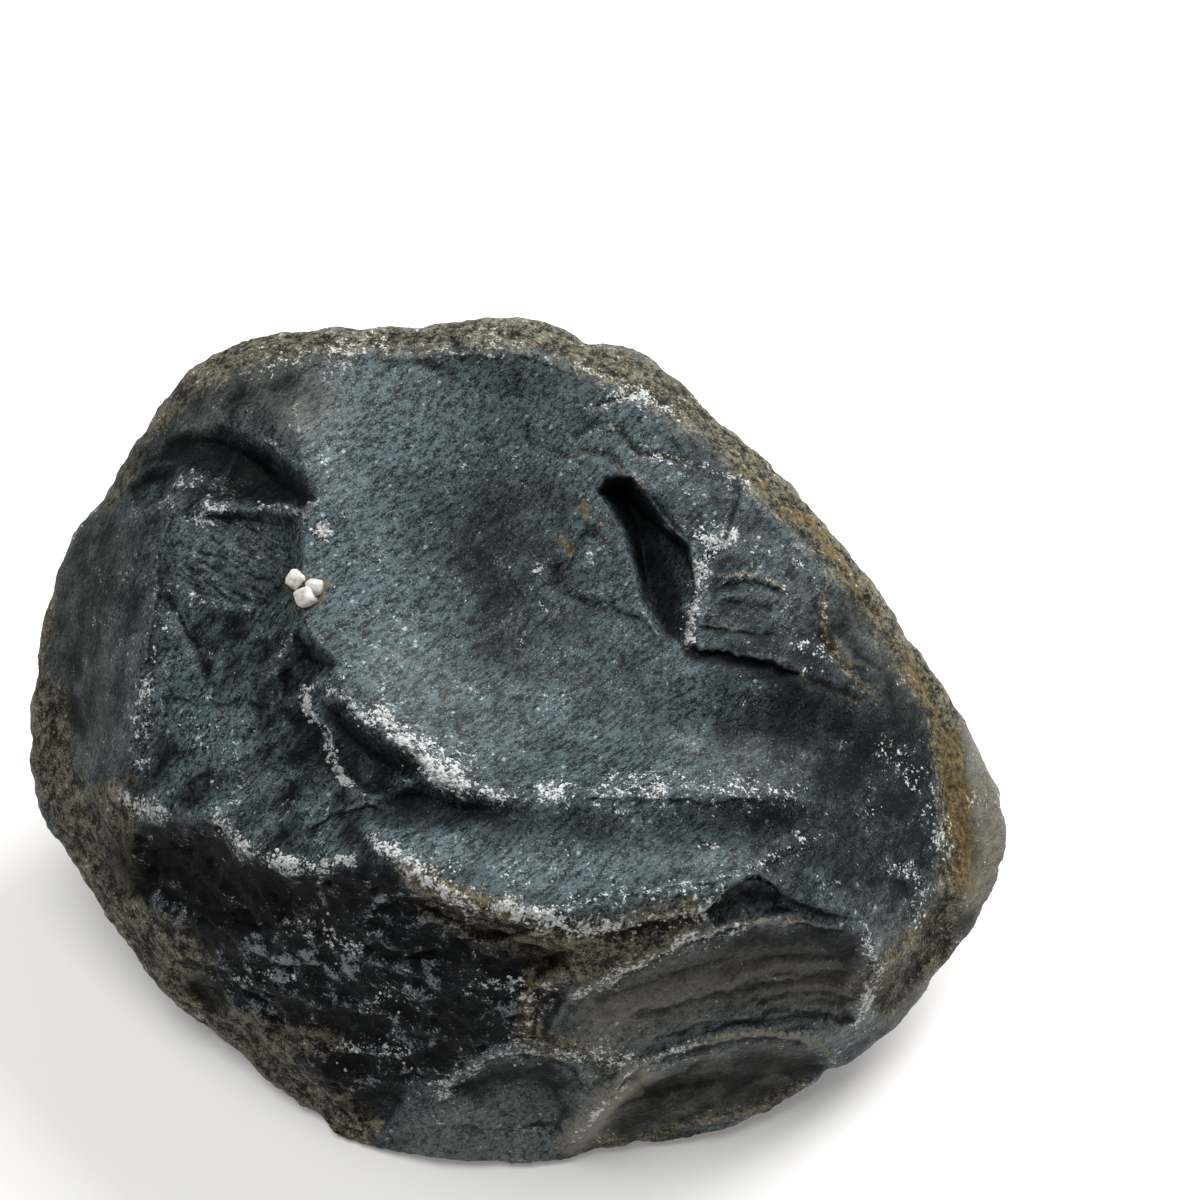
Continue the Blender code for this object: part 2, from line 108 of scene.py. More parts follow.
# Ridges between the fracture faces: name, sharpness from 0 to 1, points
RIDGES = (
    ("top rim", 0.35, (
        (205, 385, -6), (250, 365, -6), (303, 352, -5), (350, 350, -5), (410, 354, -4),
        (470, 350, -4), (530, 348, -4), (590, 370, -4), (640, 386, -5), (680, 413, -5),
    )),
    ("right rim", 0.45, (
        (680, 413, -5), (720, 455, -5), (755, 492, -4), (792, 532, -4), (824, 577, -3),
        (852, 626, -3), (887, 672, -4), (916, 716, -5), (936, 770, -5), (947, 830, -4),
        (938, 885, -1), (910, 935, 1),
    )),
    ("far right shoulder", 0.5, (
        (936, 770, -5), (955, 800, -9), (966, 840, -8), (978, 880, -7),
    )),
    ("dish, upper left edge", 0.6, (
        (303, 352, -5), (299, 395, -1), (297, 440, 3), (316, 500, 7),
    )),
    ("dish, left cliff", 0.9, (
        (316, 500, 7), (303, 530, 8), (303, 575, 9), (300, 630, 12), (343, 665, 14),
        (345, 700, 16), (378, 735, 19), (425, 765, 21), (470, 790, 22.5),
    )),
    ("dish, lower crest", 0.35, (
        (470, 790, 22.5), (540, 800, 22), (620, 797, 21.5), (700, 795, 20.5),
        (770, 798, 18), (815, 812, 14.5),
    )),
    ("brow", 0.75, (
        (378, 852, 25), (412, 866, 27), (445, 892, 28.5), (500, 908, 29.5), (560, 915, 29.5),
        (630, 900, 29), (690, 892, 27.5), (722, 884, 26), (752, 877, 24.5),
        (780, 890, 22.5), (830, 915, 17.5), (875, 935, 11.5), (910, 935, 1),
    )),
    ("upper ripple edge", 0.6, (
        (520, 962, 25), (560, 985, 22.5), (610, 972, 24), (680, 938, 25), (750, 921, 22.5),
        (815, 922, 18.5), (862, 945, 13), (882, 966, 8.5), (870, 992, 6.5), (856, 1030, 3.5),
    )),
    ("left ridge", 0.7, (
        (166, 505, 0), (157, 560, 1), (153, 610, 2), (146, 665, 2.5), (138, 720, 3),
        (120, 790, 2),
    )),
    ("left terrace edge", 0.85, (
        (75, 815, -9), (120, 790, 2), (150, 815, 7), (225, 818, 13.5), (246, 850, 16),
        (298, 872, 20), (345, 868, 23), (378, 852, 25),
    )),
    ("lower left edge", 0.4, (
        (75, 815, -9), (112, 868, -7), (150, 930, -5), (200, 985, -3.5), (262, 1030, -1),
        (320, 1080, 1),
    )),
    ("foot crest", 0.8, (
        (572, 1150, 1.5), (592, 1118, 7), (630, 1078, 12), (690, 1050, 14.5),
        (760, 1036, 12.5), (810, 1042, 8.5), (856, 1030, 3.5),
    )),
    ("foot scar rim", 0.6, (
        (445, 1082, 9), (490, 1056, 12.5), (548, 1054, 13), (582, 1080, 11), (578, 1118, 7),
        (572, 1150, 1.5),
    )),
    ("ledge right of the dish", 0.5, (
        (682, 648, 8.5), (722, 668, 9), (770, 674, 8), (815, 690, 5.5), (862, 702, 2.5),
    )),
)

# Single points on the faces between the ridges, which give each face its tilt and its hollow
FACE_POINTS = (
    # Dish
    (400, 400, -3), (480, 395, -4.5), (560, 400, -3.5), (620, 425, -2), (350, 450, 1),
    (420, 470, -1.5), (500, 480, -3), (580, 490, -1.5), (365, 540, 4.5), (430, 560, 1.5),
    (510, 570, 0), (590, 570, 2), (370, 620, 9), (440, 645, 6), (520, 660, 4.5),
    (600, 660, 5.5), (420, 710, 14), (490, 730, 12.5), (570, 735, 11), (660, 730, 10.5),
    (750, 735, 9), (830, 752, 5.5), (885, 760, 0.5), (640, 765, 16), (740, 768, 14.5),
    (530, 770, 17.5),
    # Second ripple of the dish, under its lower crest
    (430, 815, 22.5), (500, 835, 22.5), (590, 840, 21.5), (680, 838, 20.5),
    (770, 838, 17), (850, 830, 10), (900, 830, 4), (880, 885, 7.5), (460, 870, 26),
    (560, 878, 25.5), (660, 868, 24.5), (750, 858, 21),
    # Broken corner right of the dish
    (660, 460, -1), (640, 520, 1.5), (705, 510, -0.5), (700, 580, 3.5), (760, 560, 0.5),
    (650, 600, 4.5), (760, 620, 3.5), (815, 640, 1), (860, 745, 3),
    # Left terrace, and the smooth face at the far left
    (235, 400, -3), (200, 450, -3.5), (250, 470, 0), (140, 480, -8), (240, 540, 2),
    (286, 545, 4), (286, 600, 6), (300, 700, 10), (318, 735, 11.5), (352, 768, 14.5),
    (210, 600, 3.5), (255, 620, 5), (210, 680, 5.5), (262, 690, 8), (200, 750, 7.5),
    (280, 760, 11), (340, 805, 16), (300, 820, 15), (110, 560, -7), (90, 630, -9),
    (85, 700, -9.5), (75, 760, -10),
    # Dark flank under the left terrace
    (180, 880, 3.5), (240, 900, 10), (310, 920, 15), (390, 920, 20.5), (460, 945, 24),
    (230, 960, 3), (310, 985, 9), (400, 1000, 14.5), (480, 1010, 17.5), (330, 1045, 4),
    (410, 1060, 8), (380, 1105, 1.5), (450, 1125, 2.5), (520, 1135, 2.5),
    # Ripple-marked scar, and the scar at the foot
    (600, 1010, 20.5), (680, 985, 21.5), (760, 970, 19), (830, 985, 11.5),
    (620, 1050, 16.5), (700, 1020, 18), (780, 1015, 13.5), (520, 1020, 17),
    (640, 1115, 3.5), (700, 1100, 4.5), (770, 1075, 3.5), (520, 1095, 7.5),
    (900, 990, -1), (930, 930, -4),
)

# Far side and underside, in millimetres from the point on the ground under the stone's middle
FAR_POINTS = (
    (-24, -24, -0.6), (2, -30, -0.6), (30, -24, -0.6), (40, -2, -0.6), (33, 26, -0.6),
    (4, 36, -0.6), (-28, 27, -0.6), (-38, 0, -0.6), (0, 2, -1.0),
    (-58, -10, 8), (-62, 24, 11), (-42, 52, 9), (0, 64, 10), (42, 50, 8), (62, 22, 9),
    (28, -42, 5), (-26, -42, 5),
    (-76, 20, 36), (-60, 54, 38), (-22, 78, 38), (24, 80, 34), (60, 58, 34), (78, 26, 28),
    (-48, 56, 60), (-14, 74, 62), (20, 76, 60),
)

# Bites broken out of the near side: name, depth in millimetres, steepness of the wall,
# picture point where the floor comes up to the surface, one where it is deepest, outline
BITES = (
    ("upper left pocket", 7.5, 1.5, (188, 520), (285, 450), (
        (150, 462), (166, 440), (190, 426), (225, 424), (252, 434), (276, 446), (292, 462),
        (304, 483), (318, 501), (300, 509), (262, 506), (205, 502), (178, 520),
    )),
    ("left gap", 3.6, 1.3, (135, 515), (182, 470), (
        (128, 486), (150, 468), (186, 456), (180, 484), (168, 504), (138, 512),
    )),
    ("hackled hollow", 2.6, 1.3, (178, 560), (292, 560), (
        (190, 512), (240, 510), (296, 515), (303, 530), (303, 572), (290, 596), (268, 610),
        (236, 606), (200, 596), (172, 588), (166, 562), (176, 530),
    )),
    ("first notch", 4.8, 1.2, (270, 705), (330, 655), (
        (297, 628), (318, 640), (345, 667), (318, 682), (302, 694), (282, 700), (276, 672),
    )),
    ("second notch", 5.2, 1.0, (335, 800), (400, 738), (
        (318, 700), (348, 701), (364, 722), (380, 736), (404, 746), (426, 766), (418, 784),
        (380, 800), (352, 790), (338, 765), (326, 735),
    )),
    ("hollow under the second notch", 3.2, 0.8, (400, 850), (455, 792), (
        (372, 800), (420, 778), (440, 780), (472, 790), (505, 801), (520, 812), (470, 832),
        (400, 845), (368, 836),
    )),
    ("wedge", 9.5, 3.6, (702, 585), (628, 560), (
        (606, 478), (632, 476), (652, 500), (672, 526), (690, 545), (697, 580), (692, 615),
        (684, 646), (656, 633), (640, 600), (622, 534), (608, 508), (596, 492),
    )),
    ("chip beside the wedge", 1.8, 1.2, (640, 530), (680, 500), (
        (645, 492), (656, 496), (676, 520), (692, 542), (676, 538), (658, 522), (648, 506),
    )),
    ("dark hollow under the terrace", 5.5, 1.3, (260, 960), (230, 850), (
        (134, 832), (152, 820), (224, 821), (246, 852), (298, 874), (345, 870), (330, 905),
        (260, 935), (180, 918), (128, 900),
    )),
    ("pit low on the left", 3.0, 1.3, (215, 1030), (205, 985), (
        (178, 985), (205, 972), (230, 980), (238, 1005), (226, 1022), (205, 1012),
    )),
    ("second pit low on the left", 3.0, 1.2, (300, 1030), (262, 988), (
        (240, 990), (258, 982), (300, 996), (325, 1010), (310, 1030), (262, 1022),
    )),
    ("hollow under the brow", 4.2, 1.3, (400, 960), (470, 915), (
        (372, 908), (405, 886), (440, 896), (490, 912), (540, 925), (520, 950), (460, 962),
        (400, 960),
    )),
    ("dark tongue", 4.0, 1.5, (520, 1000), (560, 945), (
        (500, 925), (540, 935), (575, 950), (572, 968), (540, 985), (500, 1000), (470, 975),
    )),
    ("eyebrow chip", 2.0, 1.2, (745, 940), (745, 892), (
        (722, 892), (738, 882), (760, 880), (782, 892), (782, 902), (800, 912), (750, 925),
        (715, 928), (700, 912),
    )),
    ("rippled scar", 4.4, 1.0, (700, 1075), (730, 950), (
        (560, 1000), (600, 987), (640, 967), (680, 947), (720, 932), (760, 927), (800, 925),
        (840, 930), (862, 940), (876, 962), (868, 988), (856, 1024), (810, 1032),
        (750, 1034), (700, 1044), (640, 1060), (600, 1060), (574, 1046), (558, 1030),
    )),
    ("small round scar", 2.2, 1.2, (545, 1030), (560, 995), (
        (530, 990), (552, 982), (570, 985), (574, 1000), (560, 1018), (545, 1035), (530, 1020),
    )),
    ("foot scar", 3.4, 1.0, (500, 1140), (548, 1075), (
        (450, 1084), (490, 1062), (548, 1060), (576, 1078), (580, 1110), (566, 1138),
        (520, 1132), (460, 1130), (436, 1108),
    )),
    ("long scar at the foot", 5.2, 1.0, (690, 1150), (720, 1062), (
        (600, 1132), (612, 1105), (640, 1080), (690, 1058), (760, 1044), (812, 1050),
        (835, 1064), (800, 1092), (740, 1116), (660, 1134),
    )),
    ("oval scar at the foot", 2.4, 1.2, (380, 1130), (385, 1085), (
        (345, 1100), (362, 1085), (392, 1078), (410, 1088), (408, 1104), (392, 1122),
        (360, 1122),
    )),
    ("shallow scar on the right rim", 1.6, 0.6, (900, 640), (838, 610), (
        (822, 590), (845, 580), (872, 590), (892, 625), (905, 655), (880, 672), (850, 660),
        (828, 630),
    )),
    ("scar low on the right", 2.2, 0.7, (930, 1000), (900, 965), (
        (885, 968), (912, 950), (936, 950), (925, 985), (895, 1015), (872, 1020), (868, 996),
    )),
)

# Scars on the far side: turn from the front and height angle in degrees, width, depth in millimetres
FAR_SCARS = (
    (150, 38, 62, 8.0), (205, 22, 70, 9.0), (238, 48, 46, 5.0), (120, 12, 44, 5.0),
    (178, 2, 40, 4.5), (262, 8, 48, 5.5), (96, 30, 34, 3.5), (222, -6, 34, 4.0),
)

SIGHT = Vector((0, math.cos(EYE_PITCH), -math.sin(EYE_PITCH)))
SIGHT_UP = Vector((0, math.sin(EYE_PITCH), math.cos(EYE_PITCH)))
SIGHT_RIGHT = Vector((1, 0, 0))
MIDDLE = Vector((0, 0, MIDDLE_HEIGHT))
SCAR_AIM = Vector((0, 8, 30)) * MM


def ray(across, down):
    """The line of sight through a picture point, one metre along the eye's own direction."""
    right = (across - VIEW_CENTRE) / FOCAL_PIXELS
    up = (VIEW_CENTRE - down) / FOCAL_PIXELS
    return SIGHT + SIGHT_RIGHT * right + SIGHT_UP * up


EYE = MIDDLE - ray(MIDDLE_ACROSS, MIDDLE_DOWN) * EYE_DISTANCE


def near_point(across, down, towards):
    """A point of the broken side, from its picture point and its distance towards the eye."""
    return EYE + ray(across, down) * (EYE_DISTANCE - towards * MM)


def picture(points):
    """Where points, as rows of a numpy array, show in the picture: pixels across and down."""
    offset = points - np.array(EYE)
    deep = offset @ np.array(SIGHT)
    across = VIEW_CENTRE + FOCAL_PIXELS * (offset @ np.array(SIGHT_RIGHT)) / deep
    down = VIEW_CENTRE - FOCAL_PIXELS * (offset @ np.array(SIGHT_UP)) / deep
    return np.stack([across, down], axis=1)


def triangles(flat_points, ridge_edges, outline_count):
    """Triangles over flat points whose first ones are the outline, with every ridge kept as an edge."""
    flat = [Vector(point) for point in flat_points]
    outline = list(range(outline_count))
    made = delaunay_2d_cdt(flat, ridge_edges, [outline], 0, 1e-6)
    faces, origin, inside = made[2], made[3], made[5]
    return [[origin[i][0] for i in face] for face, source in zip(faces, inside) if source]


def swollen_outline():
    """The outline's picture points, set out a little larger about the stone's middle."""
    points = []
    for across, down, towards in OUTLINE:
        points.append((
            MIDDLE_ACROSS + (across - MIDDLE_ACROSS) * OUTLINE_SWELL,
            MIDDLE_DOWN + (down - MIDDLE_DOWN) * OUTLINE_SWELL,
            towards,
        ))
    return points


def cage():
    """The stone as a coarse mesh: near side and far side over one shared outline."""
    outline = swollen_outline()
    count = len(outline)
    near = list(outline)
    ridge_edges, sharpness = [], []
    for _, sharp, line in RIDGES:
        for point in line:
            if point not in near:
                near.append(point)
        places = [near.index(point) for point in line]
        ridge_edges += list(zip(places, places[1:]))
        sharpness += [sharp] * (len(places) - 1)
    near += list(FACE_POINTS)
    near_faces = triangles([p[:2] for p in near], ridge_edges, count)

    far = [Vector(point) * MM for point in FAR_POINTS]
    far_flat = [p[:2] for p in outline] + [tuple(p) for p in picture(np.array(far))]
    far_faces = triangles(far_flat, [], count)

    bm = bmesh.new()
    near_verts = [bm.verts.new(near_point(*point)) for point in near]
    far_verts = near_verts[:count] + [bm.verts.new(point) for point in far]
    for face in near_faces:
        bm.faces.new([near_verts[i] for i in face])
    for face in far_faces:
        bm.faces.new([far_verts[i] for i in reversed(face)])
    crease = bm.edges.layers.float.new("crease_edge")
    ridge_edges += [(i, (i + 1) % count) for i in range(count)]
    sharpness += [RIM_SHARPNESS] * count
    for (a, b), sharp in zip(ridge_edges, sharpness):
        bm.edges.get((near_verts[a], near_verts[b]))[crease] = sharp
    bmesh.ops.recalc_face_normals(bm, faces=bm.faces)
    mesh = bpy.data.meshes.new("cage")
    bm.to_mesh(mesh)
    bm.free()
    return mesh


def evaluated(mesh, kind, **settings):
    """The mesh with one modifier run on it, as a mesh of its own."""
    holder = bpy.data.objects.new("holder", mesh)
    bpy.context.collection.objects.link(holder)
    modifier = holder.modifiers.new(kind, kind)
    for name, value in settings.items():
        setattr(modifier, name, value)
    graph = bpy.context.evaluated_depsgraph_get()
    result = bpy.data.meshes.new_from_object(holder.evaluated_get(graph), depsgraph=graph)
    bpy.data.objects.remove(holder)
    return result


def places_and_normals(mesh):
    """The mesh's points and their normals, as two numpy arrays."""
    places = np.empty(len(mesh.vertices) * 3, np.float32)
    normals = np.empty(len(mesh.vertices) * 3, np.float32)
    mesh.vertices.foreach_get("co", places)
    mesh.vertex_normals.foreach_get("vector", normals)
    return places.reshape(-1, 3).astype(float), normals.reshape(-1, 3).astype(float)


def move(mesh, places):
    """Puts the mesh's points at these places."""
    mesh.vertices.foreach_set("co", places.astype(np.float32).ravel())
    mesh.update()


def inside_distance(points, outline):
    """How far inside a closed outline each flat point is, negative outside it."""
    corners = np.array(outline, float)
    nearest = np.full(len(points), np.inf)
    inside = np.zeros(len(points), bool)
    for start, end in zip(corners, np.roll(corners, -1, axis=0)):
        along = end - start
        share = np.clip(((points - start) @ along) / (along @ along), 0, 1)
        gap = points - start - share[:, None] * along
        nearest = np.minimum(nearest, np.hypot(gap[:, 0], gap[:, 1]))
        crosses = (start[1] > points[:, 1]) != (end[1] > points[:, 1])
        rise = np.where(end[1] == start[1], 1, end[1] - start[1])
        at = start[0] + (points[:, 1] - start[1]) / rise * (end[0] - start[0])
        inside ^= crosses & (points[:, 0] < at)
    return np.where(inside, nearest, -nearest)


def bite(places, normals):
    """Breaks the bites out of the near side, each along the lines of sight."""
    rays = places - np.array(EYE)
    rays /= np.linalg.norm(rays, axis=1)[:, None]
    facing = np.clip(-(normals * rays).sum(1) / EDGE_ON, 0, 1)
    seen = picture(places)
    depth = np.zeros(len(places))
    for _, deepest, wall, shallow_end, deep_end, outline in BITES:
        shallow, deep = np.array(shallow_end, float), np.array(deep_end, float)
        fall = deep - shallow
        floor = np.clip(((seen - shallow) @ fall) / (fall @ fall), 0, 1) * deepest * MM
        inside = inside_distance(seen, outline) * PIXEL
        depth = np.maximum(depth, np.minimum(floor, np.clip(inside, 0, None) * wall))
    return places + rays * (depth * facing)[:, None]


def scar(places, normals, turn, height, width, deepest):
    """Scoops one round scar out of the far side: a ball pressed in along the line to its middle."""
    turn, height = math.radians(turn), math.radians(height)
    out = np.array([math.sin(turn) * math.cos(height), -math.cos(turn) * math.cos(height),
                    math.sin(height)])
    away = places - np.array(SCAR_AIM)
    heading = away / np.linalg.norm(away, axis=1)[:, None]
    surface = places[np.argmax(heading @ out)]
    radius = ((width / 2) ** 2 + deepest**2) / (2 * deepest) * MM
    offset = places - surface - out * (radius - deepest * MM)
    along = offset @ out
    aside = (offset**2).sum(1) - along**2
    floor = -np.sqrt(np.clip(radius**2 - aside, 0, None))
    cut = (aside < radius**2) & (along > floor) & (normals @ out > 0)
    behind = (places - np.array(MIDDLE)) @ np.array(SIGHT)
    free = np.clip((behind - SCAR_START) / (SCAR_FULL - SCAR_START), 0, 1)
    return places + out * np.where(cut, (floor - along) * free, 0)[:, None]


def lumpy(places, normals):
    """Adds the uneven surface of broken stone."""
    height = np.zeros(len(places))
    for size, rise in LUMPS:
        height += [rise * noise.noise(Vector(place) / size) for place in places]
    return places + normals * height[:, None]


# FINE RELIEF
# What the breaking left on the faces: low steps and ripples that run across the scars, raised
# edges, cracks, the hackled patch, and the grain of the broken rock, rougher on the dark flank and
# on the worn crust. All of it is cut along the lines of sight, in millimetres and picture points.

# Lines that are used more than once
LOW_RIPPLE = ((717, 1024), (775, 1001), (852, 1010))
MIDDLE_RIPPLE = ((756, 998), (801, 982), (852, 990))
HIGH_RIPPLE = ((711, 988), (775, 964), (842, 962))
RIPPLED_FACE = ((610, 1015), (680, 990), (760, 970), (840, 985))
HACKLED_FACE = ((200, 540), (250, 560), (285, 560))
NOTCH_LIP = ((304, 704), (324, 728), (331, 755), (346, 782))
TOP_CRACK = ((585, 410), (600, 403), (625, 395), (638, 388), (660, 402), (676, 400))
SHORT_CRACK = ((548, 462), (575, 452), (610, 455), (626, 476))
CORNER_CRACK = ((612, 428), (636, 450), (674, 459), (700, 462))

# (kind, height in mm, width in pixels, points). A step drops to the right of its line, and a crest
# is a raised edge, or a crack where its height is negative.
LINES = (
    ("step", 0.3, 30, ((560, 799), (650, 802), (750, 802), (798, 803), (817, 818))),
    ("step", 0.35, 22, ((560, 905), (650, 895), (720, 878), (762, 868), (812, 845), (850, 838))),
    ("step", 1.7, 34, (
        (600, 935), (640, 925), (700, 914), (718, 902), (726, 889), (745, 879), (768, 880),
        (785, 897), (830, 914), (862, 922),
    )),
    ("step", 1.6, 34, (
        (566, 1016), (590, 996), (620, 978), (660, 957), (700, 938), (740, 928), (800, 924),
        (840, 930), (864, 942),
    )),
    ("step", 1.0, 32, (
        (610, 1022), (650, 1008), (700, 997), (730, 991), (762, 983), (810, 975), (866, 968),
    )),
    ("step", 0.45, 16, ((700, 972), (740, 962), (790, 955), (850, 955))),
    ("step", 0.4, 14, ((770, 1004), (810, 1000), (854, 1001))),
    ("step", 0.6, 16, ((640, 1042), (700, 1024), (780, 1018), (852, 1014))),
    ("step", 0.4, 10, ((750, 1031), (800, 1029), (846, 1026))),
    ("step", 2.0, 38, (
        (598, 1118), (620, 1084), (650, 1062), (700, 1046), (760, 1037), (800, 1041), (830, 1058),
    )),
    ("step", 0.9, 26, ((636, 1104), (658, 1080), (700, 1064), (750, 1056), (798, 1060))),
    ("step", 0.4, 18, ((570, 1150), (586, 1112), (612, 1082), (640, 1066))),
    ("step", 1.1, 34, ((446, 1088), (490, 1059), (545, 1053), (576, 1070), (586, 1096))),
    ("step", 0.5, 18, ((398, 1128), (450, 1126), (500, 1128), (540, 1135), (562, 1152))),
    ("step", 0.5, 15, ((366, 914), (402, 899), (440, 903), (474, 922))),
    ("step", 0.4, 12, ((400, 913), (440, 906), (462, 916), (492, 930))),
    ("crest", 0.5, 4.5, ((529, 1036), (531, 1008), (547, 988), (570, 980))),
    ("crest", 0.45, 4, ((541, 1038), (544, 1012), (557, 998), (576, 992))),
    ("crest", 0.4, 3.5, ((552, 1038), (555, 1018), (566, 1006))),
    ("crest", 1.5, 9, ((569, 1142), (598, 1107), (627, 1076), (660, 1056))),
    ("crest", 0.5, 4, MIDDLE_RIPPLE),
    ("crest", 0.45, 4, LOW_RIPPLE),
    ("crest", 0.45, 4, HIGH_RIPPLE),
    ("crest", 0.4, 7, ((345, 1112), (368, 1099), (400, 1090), (414, 1086))),
    ("crest", 0.4, 6, ((330, 1104), (352, 1090), (380, 1079))),
    ("crest", 0.5, 6, ((66, 848), (88, 868), (108, 894), (122, 918))),
    ("crest", 0.4, 5, ((176, 985), (200, 1014), (240, 1044), (272, 1068), (294, 1094))),
    ("step", 0.5, 20, ((140, 690), (150, 640), (160, 590), (158, 556), (172, 520), (196, 504))),
    ("crest", -0.7, 6, ((165, 590), (185, 625), (204, 660), (211, 692))),
    ("crest", 0.5, 5, ((190, 512), (225, 511), (266, 508), (312, 514))),
    ("crest", 0.5, 5, ((236, 450), (226, 475), (206, 492))),
    ("crest", -0.5, 5, ((165, 505), (172, 495), (179, 490))),
    ("crest", 0.5, 6, NOTCH_LIP),
    ("crest", 0.4, 6, ((344, 670), (325, 683), (306, 691), (304, 706))),
    ("crest", -0.45, 4, TOP_CRACK),
    ("crest", -0.4, 4, ((572, 440), (588, 427), (602, 419))),
    ("crest", -0.35, 4, CORNER_CRACK),
    ("crest", -0.3, 3.5, ((522, 424), (530, 452))),
    ("crest", -0.3, 3.5, SHORT_CRACK),
    ("step", 0.35, 12, ((710, 590), (745, 579), (788, 590))),
    ("step", 0.35, 12, ((698, 627), (740, 631), (778, 635))),
    ("step", 0.25, 10, ((712, 606), (745, 602), (782, 611))),
    ("step", 1.4, 26, ((672, 640), (700, 650), (732, 655), (770, 664), (804, 677))),
    ("crest", -0.6, 5, ((798, 674), (830, 690), (864, 701))),
    ("step", 0.45, 18, ((872, 671), (840, 669), (820, 640), (814, 602), (826, 568))),
    ("crest", -0.9, 4.5, ((602, 530), (585, 535), (572, 550), (562, 570), (548, 592))),
    ("step", 0.5, 26, ((548, 592), (575, 597), (610, 606), (640, 621), (664, 641))),
    ("crest", 0.4, 4, ((650, 495), (656, 515), (670, 530), (690, 541))),
    ("crest", -0.35, 4, ((735, 470), (738, 500), (728, 530), (722, 552))),
    ("step", 0.2, 20, ((300, 352), (345, 358), (410, 360), (470, 357), (520, 358), (586, 380))),
    ("step", 0.35, 18, ((860, 882), (885, 879), (908, 882))),
    ("crest", 0.4, 6, ((846, 1012), (862, 1000), (876, 976), (900, 952), (932, 940))),
    ("step", 0.6, 22, ((132, 842), (150, 826), (224, 826), (250, 858), (300, 876), (346, 872))),
    ("step", 0.5, 24, ((200, 905), (260, 916), (330, 906), (382, 884), (404, 872))),
    ("step", 0.45, 20, ((190, 962), (240, 972), (300, 960), (360, 948), (430, 952), (470, 962))),
    ("step", 0.45, 20, ((240, 1022), (300, 1014), (360, 1000), (420, 1002), (470, 990))),
    ("step", 0.5, 22, ((310, 1062), (350, 1050), (400, 1060), (430, 1048), (470, 1040))),
    ("step", 0.3, 16, ((170, 690), (200, 706), (240, 700), (276, 705))),
    ("step", 0.35, 30, ((178, 790), (205, 772), (240, 760), (272, 742))),
    ("step", 0.9, 26, NOTCH_LIP),
    ("step", 0.6, 20, ((300, 838), (330, 815), (372, 806), (392, 812))),
)

# Where the broken rock is rougher or smoother than elsewhere: (name, soft edge in pixels, outline)
REGIONS = {
    "dish": (26, (
        (330, 385), (420, 375), (520, 385), (590, 405), (604, 480), (640, 600), (700, 660),
        (790, 680), (870, 700), (905, 750), (900, 840), (820, 890), (770, 862), (700, 880),
        (600, 900), (520, 898), (450, 865), (400, 842), (430, 800), (440, 770), (385, 725),
        (350, 670), (312, 600), (308, 530), (325, 500), (308, 440),
    )),
    "flank": (22, (
        (122, 850), (150, 826), (225, 824), (250, 858), (345, 874), (380, 862), (440, 898),
        (560, 932), (572, 985), (520, 1040), (450, 1080), (340, 1090), (240, 1015), (165, 935),
    )),
    "terrace": (16, (
        (165, 610), (240, 615), (300, 640), (330, 720), (350, 790), (330, 850), (250, 840),
        (225, 812), (150, 800), (150, 700),
    )),
    "hackles": (8, (
        (185, 515), (240, 512), (298, 520), (300, 575), (284, 600), (240, 602), (196, 590),
        (172, 566),
    )),
}

